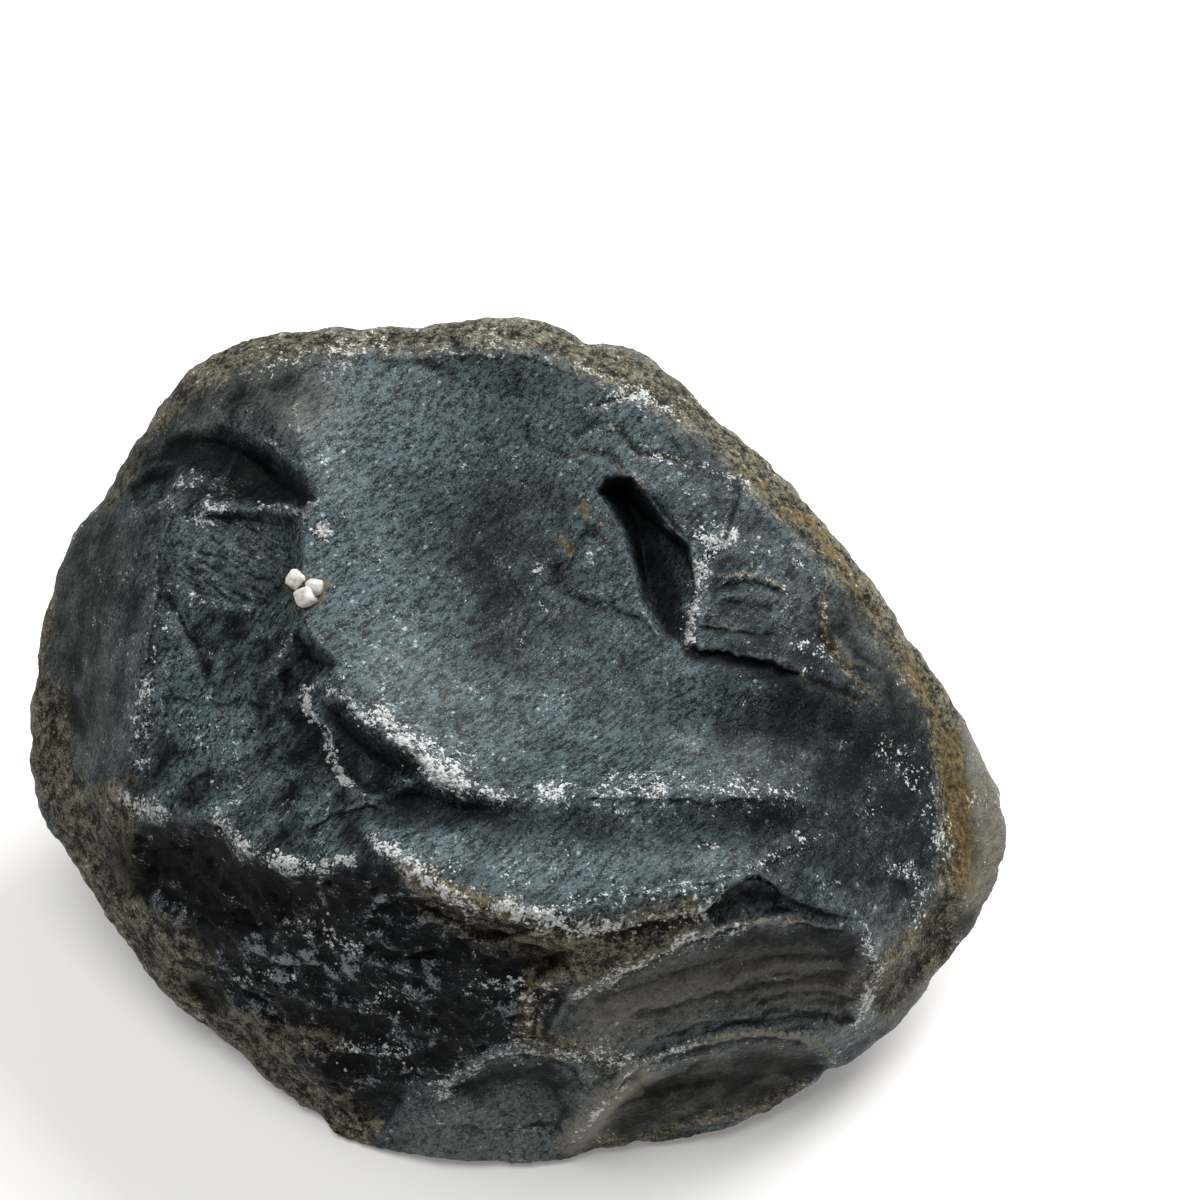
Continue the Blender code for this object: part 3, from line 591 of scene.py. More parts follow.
# Marks on the face: dried lime, ochre iron stain, the worn crust of the old block, the smooth warm scars,
# black marks that are partly dark fresh rock and partly painted shade in hollows, ripple valleys and
# under ledges, and how light or dark the bare rock is, partly its own patches and partly painted light
# and shade. Each mark is (strength, width in pixels, points of its line).
MARKS = {
    "lime": (
        (0.7, 9, ((352, 706), (385, 728), (410, 738), (430, 757), (445, 776), (475, 789), (502, 801))),
        (1.1, 11, ((384, 718), (408, 738))),
        (1.1, 12, ((424, 760), (440, 776), (466, 788))),
        (0.9, 6, ((332, 690), (346, 697))),
        (0.55, 24, ((385, 715), (412, 735), (442, 765), (470, 780))),
        (0.85, 7, ((303, 690), (310, 712), (325, 732), (332, 758), (348, 782))),
        (0.4, 15, ((500, 797), (560, 792), (620, 789), (700, 785), (785, 797))),
        (0.62, 11, ((222, 830), (250, 850), (275, 862), (305, 868), (348, 864))),
        (0.6, 10, ((130, 800), (150, 812), (162, 812))),
        (0.5, 9, ((375, 845), (400, 856), (430, 862), (460, 870))),
        (1.0, 11, ((518, 912), (535, 914), (562, 922))),
        (0.5, 12, ((540, 925), (600, 928), (650, 930), (700, 912), (722, 892))),
        (0.8, 8, ((735, 535), (716, 545), (703, 560), (698, 580), (692, 610), (686, 642))),
        (0.75, 9, ((700, 532), (712, 552), (706, 572))),
        (0.5, 8, ((575, 1000), (600, 986), (640, 966), (690, 941), (740, 930))),
        (0.6, 4, ((574, 1142), (602, 1108), (631, 1077), (662, 1057))),
        (0.3, 14, ((270, 362), (330, 348), (410, 352), (480, 345), (540, 352), (600, 375), (680, 408))),
        (0.5, 9, ((866, 942), (878, 972), (866, 1004), (856, 1026))),
        (0.55, 14, ((420, 872), (450, 895), (480, 908), (520, 906))),
        (0.45, 8, ((565, 903), (650, 893), (720, 878), (762, 868), (812, 845))),
        (0.5, 10, ((440, 1092), (490, 1058), (550, 1051), (590, 1062), (640, 1058), (700, 1046))),
        (0.4, 10, ((170, 590), (158, 640), (140, 700), (145, 760))),
        (0.45, 15, ((880, 745), (915, 775), (932, 800), (936, 850))),
        (0.5, 12, ((900, 870), (920, 880), (915, 920))),
        (0.6, 6, ((318, 500), (306, 510), (262, 506))),
        (0.5, 6, ((590, 408), (625, 392), (660, 402))),
        (0.5, 6, ((645, 455), (690, 462), (740, 480))),
        (1.6, 6, ((321, 529), (328, 531))),
        (1.2, 4, ((536, 566), (545, 565))),
        (0.7, 5, ((700, 842), (712, 846))),
        (0.7, 5, ((796, 836), (804, 840))),
        (0.6, 6, ((746, 812), (752, 820))),
        (0.7, 4, ((322, 461), (328, 463))),
        (0.6, 4, ((338, 424), (343, 427))),
        (0.45, 18, ((295, 915), (330, 930), (345, 945))),
        (0.45, 16, ((385, 995), (400, 1012))),
        (0.5, 16, ((500, 985), (540, 1000), (520, 1040), (545, 1048))),
        (0.35, 14, ((245, 975), (285, 975), (300, 990))),
        (0.45, 14, ((340, 1050), (380, 1045), (405, 1062))),
        (0.45, 10, ((800, 640), (822, 660), (822, 610), (816, 585))),
        (0.4, 14, ((190, 520), (235, 500), (190, 470))),
        (0.35, 24, ((200, 730), (240, 760), (220, 800))),
    ),
    "ochre": (
        (1.1, 19, ((946, 740), (956, 790), (962, 840), (966, 880))),
        (0.75, 14, ((905, 655), (928, 700), (944, 745))),
        (0.6, 16, ((735, 462), (780, 500), (820, 540), (856, 590), (890, 640))),
        (0.7, 7, ((128, 780), (137, 786))),
        (0.6, 7, ((112, 818), (124, 822))),
        (0.8, 17, ((425, 878), (460, 898), (510, 912))),
        (0.6, 9, ((640, 924), (700, 914), (720, 898))),
        (0.5, 24, ((560, 950), (620, 950), (690, 920))),
        (0.5, 20, ((430, 895), (480, 915), (530, 935))),
        (0.7, 14, ((535, 985), (530, 1020), (560, 1045))),
        (1.7, 5, ((584, 508), (587, 515))),
        (1.6, 5, ((562, 540), (569, 548))),
        (0.5, 6, ((800, 676), (830, 690), (862, 701))),
        (0.95, 8, ((287, 590), (299, 573), (323, 582), (318, 602), (294, 607))),
        (0.5, 10, ((225, 832), (260, 850), (330, 866))),
        (0.55, 12, ((540, 1000), (535, 1030), (555, 1048))),
        (0.45, 14, ((210, 375), (260, 352), (330, 340))),
        (0.5, 9, ((480, 338), (545, 342), (610, 364), (660, 388))),
        (0.5, 8, ((742, 800), (750, 815))),
        (0.8, 12, ((784, 512), (806, 522), (836, 556))),
        (0.7, 9, ((824, 600), (828, 640), (850, 664))),
        (0.7, 12, ((898, 662), (925, 684))),
    ),
    "crust": (
        (0.75, 28, ((200, 372), (250, 346), (300, 338), (350, 334), (420, 336), (500, 330))),
        (0.78, 28, ((500, 330), (545, 336), (600, 360), (650, 380), (700, 415), (745, 450))),
        (0.9, 26, ((745, 455), (790, 500), (835, 545), (880, 605), (920, 665), (948, 710))),
        (0.85, 20, ((940, 710), (950, 780), (955, 850), (950, 900), (925, 950), (885, 1000))),
        (0.9, 30, ((885, 985), (905, 960), (930, 945))),
        (1.0, 26, ((45, 700), (50, 760), (70, 810), (105, 870), (135, 925), (175, 975))),
        (1.0, 24, ((110, 800), (120, 830), (112, 880))),
        (0.95, 26, ((175, 975), (215, 1025), (265, 1060), (310, 1100), (360, 1125))),
        (0.6, 12, ((50, 600), (42, 650), (42, 700))),
        (0.6, 14, ((106, 505), (130, 470), (160, 425), (190, 390))),
        (0.7, 22, ((240, 1020), (290, 1040), (330, 1040))),
        (0.65, 18, ((540, 985), (530, 1020), (560, 1045), (600, 1062))),
        (0.6, 10, ((600, 1146), (660, 1132), (740, 1112), (800, 1086))),
        (0.6, 14, ((295, 1100), (330, 1110), (345, 1098))),
        (0.6, 22, ((150, 925), (190, 945), (205, 965))),
        (0.5, 16, ((415, 880), (450, 902), (520, 905), (560, 930))),
        (0.95, 20, ((560, 938), (620, 938), (690, 916))),
        (0.8, 18, ((412, 872), (450, 896), (505, 914))),
        (0.9, 30, ((545, 958), (600, 962), (650, 938))),
        (0.55, 3, TOP_CRACK),
        (0.55, 3, CORNER_CRACK),
        (0.5, 3, SHORT_CRACK),
        (0.55, 3, ((605, 527), (585, 533), (570, 549), (560, 570))),
        (0.65, 6, ((830, 562), (819, 600), (823, 640), (842, 668), (868, 690))),
        (0.55, 3, ((716, 577), (745, 573), (766, 577), (790, 590))),
        (0.55, 3, ((702, 625), (738, 629), (758, 634))),
        (0.6, 6, ((566, 1012), (590, 992), (620, 974), (660, 953), (700, 934), (740, 924), (800, 920))),
        (0.6, 6, ((600, 1062), (660, 1054), (700, 1042), (760, 1033), (800, 1037), (830, 1054))),
        (0.75, 24, ((430, 900), (480, 925), (540, 948))),
        (0.7, 18, ((548, 965), (530, 1000), (525, 1040), (560, 1052))),
        (0.7, 12, ((528, 1000), (540, 1040), (570, 1055))),
    ),
    # Dark fresh rock, and painted shade in the pockets, notches, hollows, ripple valleys and under the
    # ledges
    "black_rock_and_shade": (
        (0.85, 22, ((178, 450), (215, 455), (255, 470), (302, 496))),
        (0.75, 15, ((222, 488), (262, 494), (306, 500))),
        (0.5, 22, ((150, 450), (140, 490))),
        (0.8, 13, ((150, 478), (170, 468))),
        (0.25, 26, HACKLED_FACE),
        (0.45, 15, ((300, 645), (325, 665))),
        (0.45, 19, ((300, 722), (308, 752), (322, 782))),
        (0.5, 15, ((186, 800), (214, 784), (250, 770))),
        (0.6, 14, ((352, 828), (364, 856))),
        (0.65, 15, ((335, 715), (370, 745), (410, 762))),
        (0.7, 13, ((390, 790), (440, 806), (500, 818))),
        (1.0, 40, ((150, 862), (200, 872), (250, 900))),
        (0.8, 26, ((220, 930), (300, 905), (380, 885))),
        (0.6, 24, ((380, 960), (460, 960), (550, 960))),
        (0.5, 30, ((260, 1000), (330, 1025), (430, 1020), (500, 1010))),
        (0.7, 14, ((195, 985), (215, 1005))),
        (0.6, 20, ((420, 1060), (455, 1040))),
        (0.8, 15, ((360, 1065), (330, 1075))),
        (0.95, 17, ((615, 488), (640, 530), (662, 580), (675, 625))),
        (0.8, 8, ((690, 652), (735, 663), (795, 682))),
        (0.5, 16, ((735, 905), (760, 892), (785, 905))),
        (0.65, 13, ((740, 946), (800, 938), (850, 950))),
        (0.75, 5, ((758, 1006), (801, 991), (850, 998))),
        (0.7, 5, ((717, 1032), (775, 1010), (850, 1020))),
        (0.7, 5, ((711, 997), (775, 974), (840, 972))),
        (0.6, 4, ((536, 1034), (538, 1010), (552, 993))),
        (0.6, 4, ((548, 1038), (550, 1016), (562, 1002))),
        (0.95, 12, ((654, 1093), (676, 1085))),
        (0.75, 13, ((728, 1082), (750, 1074))),
        (0.2, 20, ((700, 1012), (780, 1005), (850, 992))),
        (0.7, 15, ((625, 1126), (655, 1108), (690, 1092), (715, 1080))),
        (0.7, 18, ((740, 1064), (806, 1062))),
        (0.5, 12, ((345, 1108), (395, 1108))),
        (0.35, 14, ((572, 1010), (560, 1030))),
        (0.6, 2.6, ((603, 532), (587, 538), (574, 553), (564, 573), (550, 591))),
        (0.6, 3, ((572, 442), (588, 429), (603, 421))),
        (0.6, 3, ((736, 478), (740, 496), (730, 520), (722, 545))),
        (0.5, 4, ((660, 402), (690, 384), (706, 372))),
    ),
    "warm": (
        (1.0, 42, RIPPLED_FACE),
        (1.0, 34, ((640, 1110), (700, 1085), (780, 1070))),
        (0.45, 34, ((480, 1085), (560, 1090), (420, 1140), (520, 1150))),
        (0.45, 55, ((90, 540), (80, 640), (75, 720))),
        (1.0, 34, ((975, 730), (992, 800), (996, 850), (975, 910))),
        (1.0, 40, ((900, 990), (940, 940))),
        (0.6, 40, ((180, 405), (250, 375), (300, 400))),
        (0.5, 50, ((860, 620), (900, 700))),
        (1.3, 24, ((580, 1140), (605, 1110), (635, 1080))),
    ),
    # Tone: partly the rock's own lighter and darker patches, partly painted light and shade: lighter on
    # the dish's left and top and on the right facet, which face the light, darker on the dish's diagonal
    # band and lower right and under rims, which face away, and painted highlights along crests and step
    # lips
    "tone": (
        (0.1, 90, ((370, 560), (420, 660), (520, 700), (680, 720))),
        (-0.34, 80, ((790, 700), (840, 740), (840, 800))),
        (0.25, 60, ((345, 470), (340, 560), (380, 640))),
        (0.3, 60, ((380, 400), (520, 400), (600, 440))),
        (-0.24, 60, ((500, 400), (480, 480), (475, 540), (510, 610))),
        (0.26, 20, ((390, 848), (440, 850), (500, 862), (600, 868), (690, 850))),
        (-0.14, 30, ((430, 835), (520, 835), (640, 830), (740, 830))),
        (-0.12, 18, ((400, 812), (460, 815), (520, 812), (660, 815), (790, 815))),
        (0.3, 44, ((180, 700), (220, 740), (230, 800))),
        (-0.12, 60, ((90, 560), (80, 640), (80, 720))),
        (-0.15, 60, ((850, 740), (880, 800), (860, 860))),
        (-0.2, 45, ((200, 385), (260, 370), (300, 400))),
        (-0.25, 22, ((740, 942), (800, 940), (845, 955))),
        (0.25, 60, ((350, 420), (400, 400), (440, 420))),
        (0.38, 45, RIPPLED_FACE),
        (0.4, 5, ((566, 1014), (590, 993), (620, 975), (660, 954), (700, 935), (740, 925), (800, 921))),
        (0.4, 5, ((660, 1056), (700, 1043), (760, 1034), (800, 1038), (828, 1054))),
        (0.4, 4, MIDDLE_RIPPLE),
        (0.4, 4, LOW_RIPPLE),
        (0.35, 4, HIGH_RIPPLE),
        (-0.04, 34, ((650, 1110), (700, 1085), (780, 1070))),
        (1.1, 9, ((574, 1142), (602, 1108), (631, 1077), (662, 1058))),
        (0.3, 40, ((490, 1090), (570, 1090))),
        (-0.3, 15, ((466, 1092), (500, 1074), (545, 1070), (572, 1090))),
        (0.4, 4, ((398, 1130), (450, 1128), (500, 1130), (540, 1137), (562, 1153))),
        (0.35, 6, ((440, 1090), (488, 1056), (548, 1050), (582, 1066))),
        (-0.3, 24, ((345, 1090), (385, 1080))),
        (0.4, 34, ((420, 1140), (480, 1145), (540, 1150))),
        (0.3, 34, HACKLED_FACE),
        (0.36, 22, ((970, 740), (985, 790), (992, 840), (985, 890))),
    ),
}

# How many widths a mark or a line reaches, and the share of a line's length over which it tapers
MARK_REACH = 2.5
LINE_REACH = 2
LINE_TAPER = 0.14

# Width of the slope above a step's lip, in pixels
STEP_LIP = 2

# Drawn lines and edges wander: (size of a bend, reach), in pixels
JITTER = ((22, 4.0), (7, 1.8))

# Striations of the hackled hollow: slope, length and spacing in pixels, height in millimetres
HACKLE_SLOPE = math.radians(27)
HACKLE_LENGTH = 30
HACKLE_SPACING = 5.5
HACKLE_HEIGHT = 0.75

# Ledges across the dark flank and the left terrace: (region, height in mm, spacing in pixels)
LEDGES = (("flank", 1.0, 38), ("terrace", 0.12, 30))

# Ledges wander in long and short bends, by some pixels each, and climb to the right. Their lip is
# this many times steeper than their shelf, and they are broken off in patches of this size.
LONG_BEND, LONG_REACH = 60, 26
SHORT_BEND, SHORT_REACH = 17, 9
LEDGE_CLIMB = 0.3
LEDGE_LIP = 9
LEDGE_BREAKS = 44

# Grain of the rock, the same everywhere but for its strength: (size, height), in metres
GRAINS = ((0.0030, 0.00012), (0.0014, 0.00008), (0.0007, 0.00005))

# Shelves of the dark flank, and the ridges and pits of all rough rock: (size, height), in metres
SHELVES = (0.0052, 0.0008)
SHELF_STRETCH = (0.4, 1.0, 1.5)
COARSE_RIDGES = (0.0060, 0.0009)
FINE_RIDGES = (0.0026, 0.0004)
PITS = (0.0021, 0.0014)

# Share of the surface lumps that the dish is without
DISH_CALM = 0.7

# The finest smoothing, and the triangles that are kept of it
FINE_SMOOTHING = 5
FINE_TRIANGLES = 190000


def field(points, size, shift=0):
    """Smooth noise at every point, as a numpy array between about -0.7 and 0.7."""
    rows = (np.asarray(points) / size + shift).tolist()
    return np.array([noise.noise(row) for row in rows])


def ridged(points, size, middle, shift=0):
    """Noise folded into sharp ridges, less its middle height."""
    return middle - np.abs(field(points, size, shift))


def jittered(seen):
    """Picture points moved a little by noise, so that no drawn line or edge comes out straight."""
    flat = np.column_stack([seen, np.zeros(len(seen))])
    moved = seen.copy()
    for size, reach in JITTER:
        moved[:, 0] += reach * field(flat, size, 3.7)
        moved[:, 1] += reach * field(flat, size, 41.3)
    return moved


def along_line(points, line):
    """How far each picture point is from a line, positive to its right, and its share of the length."""
    corners = np.array(line, float)
    lengths = np.hypot(*np.diff(corners, axis=0).T)
    best = np.full(len(points), np.inf)
    side = np.ones(len(points))
    share = np.zeros(len(points))
    walked = 0.0
    for start, end, length in zip(corners, corners[1:], lengths):
        way = (end - start) / length
        offset = points - start
        forward = np.clip(offset @ way, 0, length)
        gap = offset - forward[:, None] * way
        reach = np.hypot(gap[:, 0], gap[:, 1])
        nearer = reach < best
        turn = way[0] * offset[:, 1] - way[1] * offset[:, 0]
        best = np.where(nearer, reach, best)
        side = np.where(nearer, np.sign(turn), side)
        share = np.where(nearer, (walked + forward) / lengths.sum(), share)
        walked += length
    return best * side, share


def close_to(points, line, reach):
    """Which picture points are in the box around a line or outline, widened by a reach in pixels."""
    corners = np.array(line, float)
    low, high = corners.min(axis=0) - reach, corners.max(axis=0) + reach
    return np.flatnonzero(((points > low) & (points < high)).all(axis=1))


def painted(seen, name):
    """How strongly each picture point carries one kind of mark."""
    amount = np.zeros(len(seen))
    for strength, width, line in MARKS[name]:
        near = close_to(seen, line, width * MARK_REACH)
        across, _ = along_line(seen[near], line)
        mark = strength * np.exp(-((across / width) ** 2))
        if name == "tone":
            amount[near] += mark
        else:
            amount[near] = np.maximum(amount[near], mark)
    return amount


def region(seen, name):
    """How much of each picture point is in a named region, from 0 to 1 over its soft edge."""
    soft, outline = REGIONS[name]
    share = np.zeros(len(seen))
    near = close_to(seen, outline, soft)
    share[near] = np.clip(inside_distance(seen[near], outline) / soft + 0.5, 0, 1)
    return share


def facing_eye(places, normals):
    """How squarely each point faces the eye: 0 edge-on or behind, 1 well in view. And the sight lines."""
    rays = places - np.array(EYE)
    rays /= np.linalg.norm(rays, axis=1)[:, None]
    behind = (places - np.array(MIDDLE)) @ np.array(SIGHT)
    hidden = np.clip((behind - SCAR_START) / (SCAR_FULL - SCAR_START), 0, 1)
    return np.clip(-(normals * rays).sum(1) / EDGE_ON, 0, 1) * (1 - hidden), rays


def drawn_relief(seen):
    """The steps, crests and cracks at every picture point, in millimetres towards the eye."""
    height = np.zeros(len(seen))
    for kind, rise, width, line in LINES:
        near = close_to(seen, line, width * LINE_REACH)
        across, share = along_line(seen[near], line)
        ends = np.clip(np.minimum(share, 1 - share) / LINE_TAPER, 0, 1)
        if kind == "step":
            lip = np.clip(1 - across / width, 0, 1) * np.clip(across / STEP_LIP + 1, 0, 1)
            height[near] -= rise * lip * ends
        else:
            height[near] += rise * np.exp(-((across / width) ** 2)) * ends
    return height


def ledges(seen):
    """Ledges that run unevenly across a face, each ending in a lip, in millimetres to the eye."""
    flat = np.column_stack([seen, np.zeros(len(seen))])
    wander = LONG_REACH * field(flat, LONG_BEND, 2.2) + SHORT_REACH * field(flat, SHORT_BEND, 6.1)
    wander = wander - LEDGE_CLIMB * seen[:, 0]
    height = np.zeros(len(seen))
    for name, rise, spacing in LEDGES:
        phase = (seen[:, 1] + wander) / spacing
        shelf = phase - np.floor(phase)
        broken = np.clip(0.75 + 1.6 * field(flat, LEDGE_BREAKS, 8.8), 0, 1)
        profile = np.minimum(shelf, (1 - shelf) * LEDGE_LIP) - 0.5
        height += rise * region(seen, name) * profile * broken
    return height


def grain_relief(places, seen, facing):
    """The grain of the broken rock, in metres outwards along the surface's normal."""
    dish = region(seen, "dish") * facing
    flank = region(seen, "flank") * facing
    worn = painted(seen, "crust") * facing + 0.8 * (1 - facing)
    smooth = painted(seen, "warm") * facing
    broken = np.clip(0.22 + flank + worn - dish - 0.8 * smooth, 0, 1)
    rough = 0.5 + 1.5 * broken - 0.2 * dish
    height = np.zeros(len(places))
    for size, rise in GRAINS:
        height += rise * rough * field(places, size)
    size, rise = SHELVES
    height += flank * rise * ridged(places * np.array(SHELF_STRETCH), size, 0.35)
    size, rise = COARSE_RIDGES
    height += (broken - 0.7 * worn) * rise * ridged(places, size, 0.3, 9.1)
    size, rise = FINE_RIDGES
    height += (broken - 0.4 * worn) * rise * ridged(places, size, 0.3, 4.4)
    size, rise = PITS
    pits = np.clip(field(places, size, 17.3) - 0.32, 0, 1)
    return height - rise * pits * np.clip(broken - 0.85 * worn, 0, 1)


def hackles(seen):
    """The short parallel striations of the hackled hollow, in millimetres towards the eye."""
    along = seen @ np.array([math.cos(HACKLE_SLOPE), math.sin(HACKLE_SLOPE)])
    across = seen @ np.array([-math.sin(HACKLE_SLOPE), math.cos(HACKLE_SLOPE)])
    rows = np.column_stack([along / HACKLE_LENGTH, across / HACKLE_SPACING, np.zeros(len(seen))])
    return region(seen, "hackles") * HACKLE_HEIGHT * ridged(rows, 1, 0.4)


def fine_stone():
    """The stone's mesh with its fine relief, and its points where the picture's view sets them out."""
    levels = FINE_SMOOTHING
    dense = evaluated(cage(), "SUBSURF", levels=levels, render_levels=levels)
    places, normals = places_and_normals(dense)
    facing, _ = facing_eye(places, normals)
    calm = DISH_CALM * region(picture(places), "dish") * facing
    places += (lumpy(places, normals) - places) * (1 - calm)[:, None]
    for spec in FAR_SCARS:
        places = scar(places, normals, *spec)
    move(dense, places)
    places = bite(*places_and_normals(dense))
    move(dense, places)
    places, normals = places_and_normals(dense)
    seen = jittered(picture(places))
    facing, rays = facing_eye(places, normals)
    cut = (drawn_relief(seen) + hackles(seen) + ledges(seen)) * MM * facing
    places = places - rays * cut[:, None]
    places += normals * grain_relief(places, seen, facing)[:, None]
    places[:, 2] = np.maximum(places[:, 2], 0)
    move(dense, places)
    dense.calc_loop_triangles()
    share = min(1.0, FINE_TRIANGLES / len(dense.loop_triangles))
    stone = evaluated(dense, "DECIMATE", ratio=share, use_collapse_triangulate=True)
    places, _ = places_and_normals(stone)
    places[places[:, 2] < FLAT_LIMIT / 3, 2] = 0
    return stone, places


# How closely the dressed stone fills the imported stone's box
BOX_FILL = 0.9998

stone_mesh, set_out = fine_stone()
_, set_normals = places_and_normals(stone_mesh)
own_low, own_high = set_out.min(axis=0), set_out.max(axis=0)
cad_low, cad_high = np.array(cad_box[0]), np.array(cad_box[1])
FIT = (cad_high - cad_low) / (own_high - own_low) * BOX_FILL
CENTRE = (own_low + own_high) / 2
CAD_CENTRE = (cad_low + cad_high) / 2


def set_down(points):
    """Puts set-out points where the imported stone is, inside its box."""
    return (np.asarray(points) - CENTRE) * FIT + CAD_CENTRE


move(stone_mesh, set_down(set_out))
stone_mesh.polygons.foreach_set("use_smooth", np.ones(len(stone_mesh.polygons), bool))


# COLOUR PATCHES
# Where the bare rock shows its blue-grey, where lime has dried white in the broken edges, where iron
# has stained it ochre, where the worn, gritty crust of the old block is left along the rim, and where
# light and shade are painted: in the bites, the black marks and the tone.

# How light the bare rock is: everywhere, and more or less of it on two faces. The flank is darker
# partly for its own dark rock and partly as painted shade, for the side turned away from the light.
BASE_TONE = 0.47
DISH_TONE = 0.12
FLANK_TONE_AND_SHADE = -0.5

# Worn crust of the far side, how much that varies, and the size of its patches in metres
WORN_BACK = 0.82
WORN_VARIES = 0.35
WORN_PATCHES = 0.03

# Painted shade in the bites: a bite this deep is dark all over
FULL_SHADE_DEPTH = 4.0 * MM

# Edges are found against a surface smoothed this many times, and are strong at this height
EDGE_ROUNDS = 14
EDGE_HEIGHT = 0.22 * MM
DISH_SOFTENS = 0.7
FAR_EDGES = 0.15

# Grit beside the lime, as a share of the flank's
LIME_GRIT = 0.6


def bite_depth(seen):
    """How deep each picture point lies in the bites, as a share of a deep one."""
    depth = np.zeros(len(seen))
    for _, deepest, wall, shallow_end, deep_end, outline in BITES:
        near = close_to(seen, outline, 4)
        shallow, fall = np.array(shallow_end, float), np.subtract(deep_end, shallow_end).astype(float)
        floor = np.clip(((seen[near] - shallow) @ fall) / (fall @ fall), 0, 1) * deepest * MM
        inside = inside_distance(seen[near], outline) * PIXEL
        cut = np.minimum(floor, np.clip(inside, 0, None) * wall)
        depth[near] = np.maximum(depth[near], cut)
    return np.clip(depth / FULL_SHADE_DEPTH, 0, 1)


def standing_out(mesh, places, normals):
    """How far each point stands out from the surface around it, from -1 in a nook to 1 on an edge."""
    ends = np.empty(len(mesh.edges) * 2, np.int32)
    mesh.edges.foreach_get("vertices", ends)
    first, second = ends.reshape(-1, 2).T
    count = len(places)
    links = np.bincount(first, minlength=count) + np.bincount(second, minlength=count)
    smooth = places.copy()
    for _ in range(EDGE_ROUNDS):
        around = np.empty_like(smooth)
        for axis in range(3):
            column = smooth[:, axis]
            around[:, axis] = np.bincount(first, column[second], count)
            around[:, axis] += np.bincount(second, column[first], count)
        smooth = (smooth + around / links[:, None]) / 2
    return np.clip(((places - smooth) * normals).sum(1) / EDGE_HEIGHT, -1, 1)


def attribute(mesh, name, values):
    """Keeps one number for each point of the mesh under a name."""
    layer = mesh.attributes.new(name, "FLOAT", "POINT")
    layer.data.foreach_set("value", np.asarray(values, np.float32))


set_seen = jittered(picture(set_out))
set_facing, _ = facing_eye(set_out, set_normals)
for mark in ("lime", "ochre", "black_rock_and_shade", "warm"):
    attribute(stone_mesh, mark, painted(set_seen, mark) * set_facing)
worn_back = WORN_BACK + WORN_VARIES * field(set_out, WORN_PATCHES, 5.5)
crust = painted(set_seen, "crust") * set_facing + worn_back * (1 - set_facing)
attribute(stone_mesh, "crust", np.clip(crust, 0, 1))
dish_share = region(set_seen, "dish") * set_facing
flank_share = region(set_seen, "flank") * set_facing
terrace_share = region(set_seen, "terrace") * set_facing
# Tone of the bare rock, with the painted light and shade of its marks
tone = BASE_TONE + painted(set_seen, "tone") * set_facing
tone += DISH_TONE * dish_share
tone += FLANK_TONE_AND_SHADE * flank_share
attribute(stone_mesh, "tone", tone)
# Painted shade in the bites, darker the deeper they go
attribute(stone_mesh, "hollow", bite_depth(set_seen) * set_facing)
edge_share = standing_out(stone_mesh, set_out, set_normals)
edge_share *= (1 - DISH_SOFTENS * dish_share) * (FAR_EDGES + (1 - FAR_EDGES) * set_facing)
attribute(stone_mesh, "edge", edge_share)
attribute(stone_mesh, "uneven", np.maximum(flank_share, terrace_share))
gritty_parts = np.maximum(flank_share, LIME_GRIT * painted(set_seen, "lime") * set_facing)
attribute(stone_mesh, "grit", gritty_parts)

# THE ROCK'S SURFACE
# Fine-grained basalt: a dark blue-grey ground peppered with pale mineral flecks well under a
# millimetre, satin where it is freshly broken and dull where it is weathered.

# Colours of the rock and of what lies on it: the darkest, then the lightest
PALE_FLECKS = (0.36, 0.42, 0.44, 1)
BARE_DARK, BARE_BLUE = (0.006, 0.0075, 0.0085, 1), (0.106, 0.153, 0.168, 1)
BARE_WARM = (0.190, 0.178, 0.135, 1)
PEPPER = (0.0045, 0.006, 0.007, 1)
RUBBED_EDGES = (0.15, 0.155, 0.145, 1)
FLANK_GRIT = (0.20, 0.215, 0.235, 1)
CRUST_DARK, CRUST_LIGHT = (0.012, 0.011, 0.008, 1), (0.21, 0.19, 0.137, 1)
RUST_DARK, RUST_LIGHT = (0.030, 0.022, 0.009, 1), (0.178, 0.128, 0.046, 1)
LIME_DULL, LIME_WHITE = (0.24, 0.25, 0.24, 1), (0.62, 0.65, 0.64, 1)
# Near-black of the painted shade in bites and nooks, and of dark fresh rock
SHADE_AND_BLACK_ROCK = (0.0035, 0.0035, 0.004, 1)


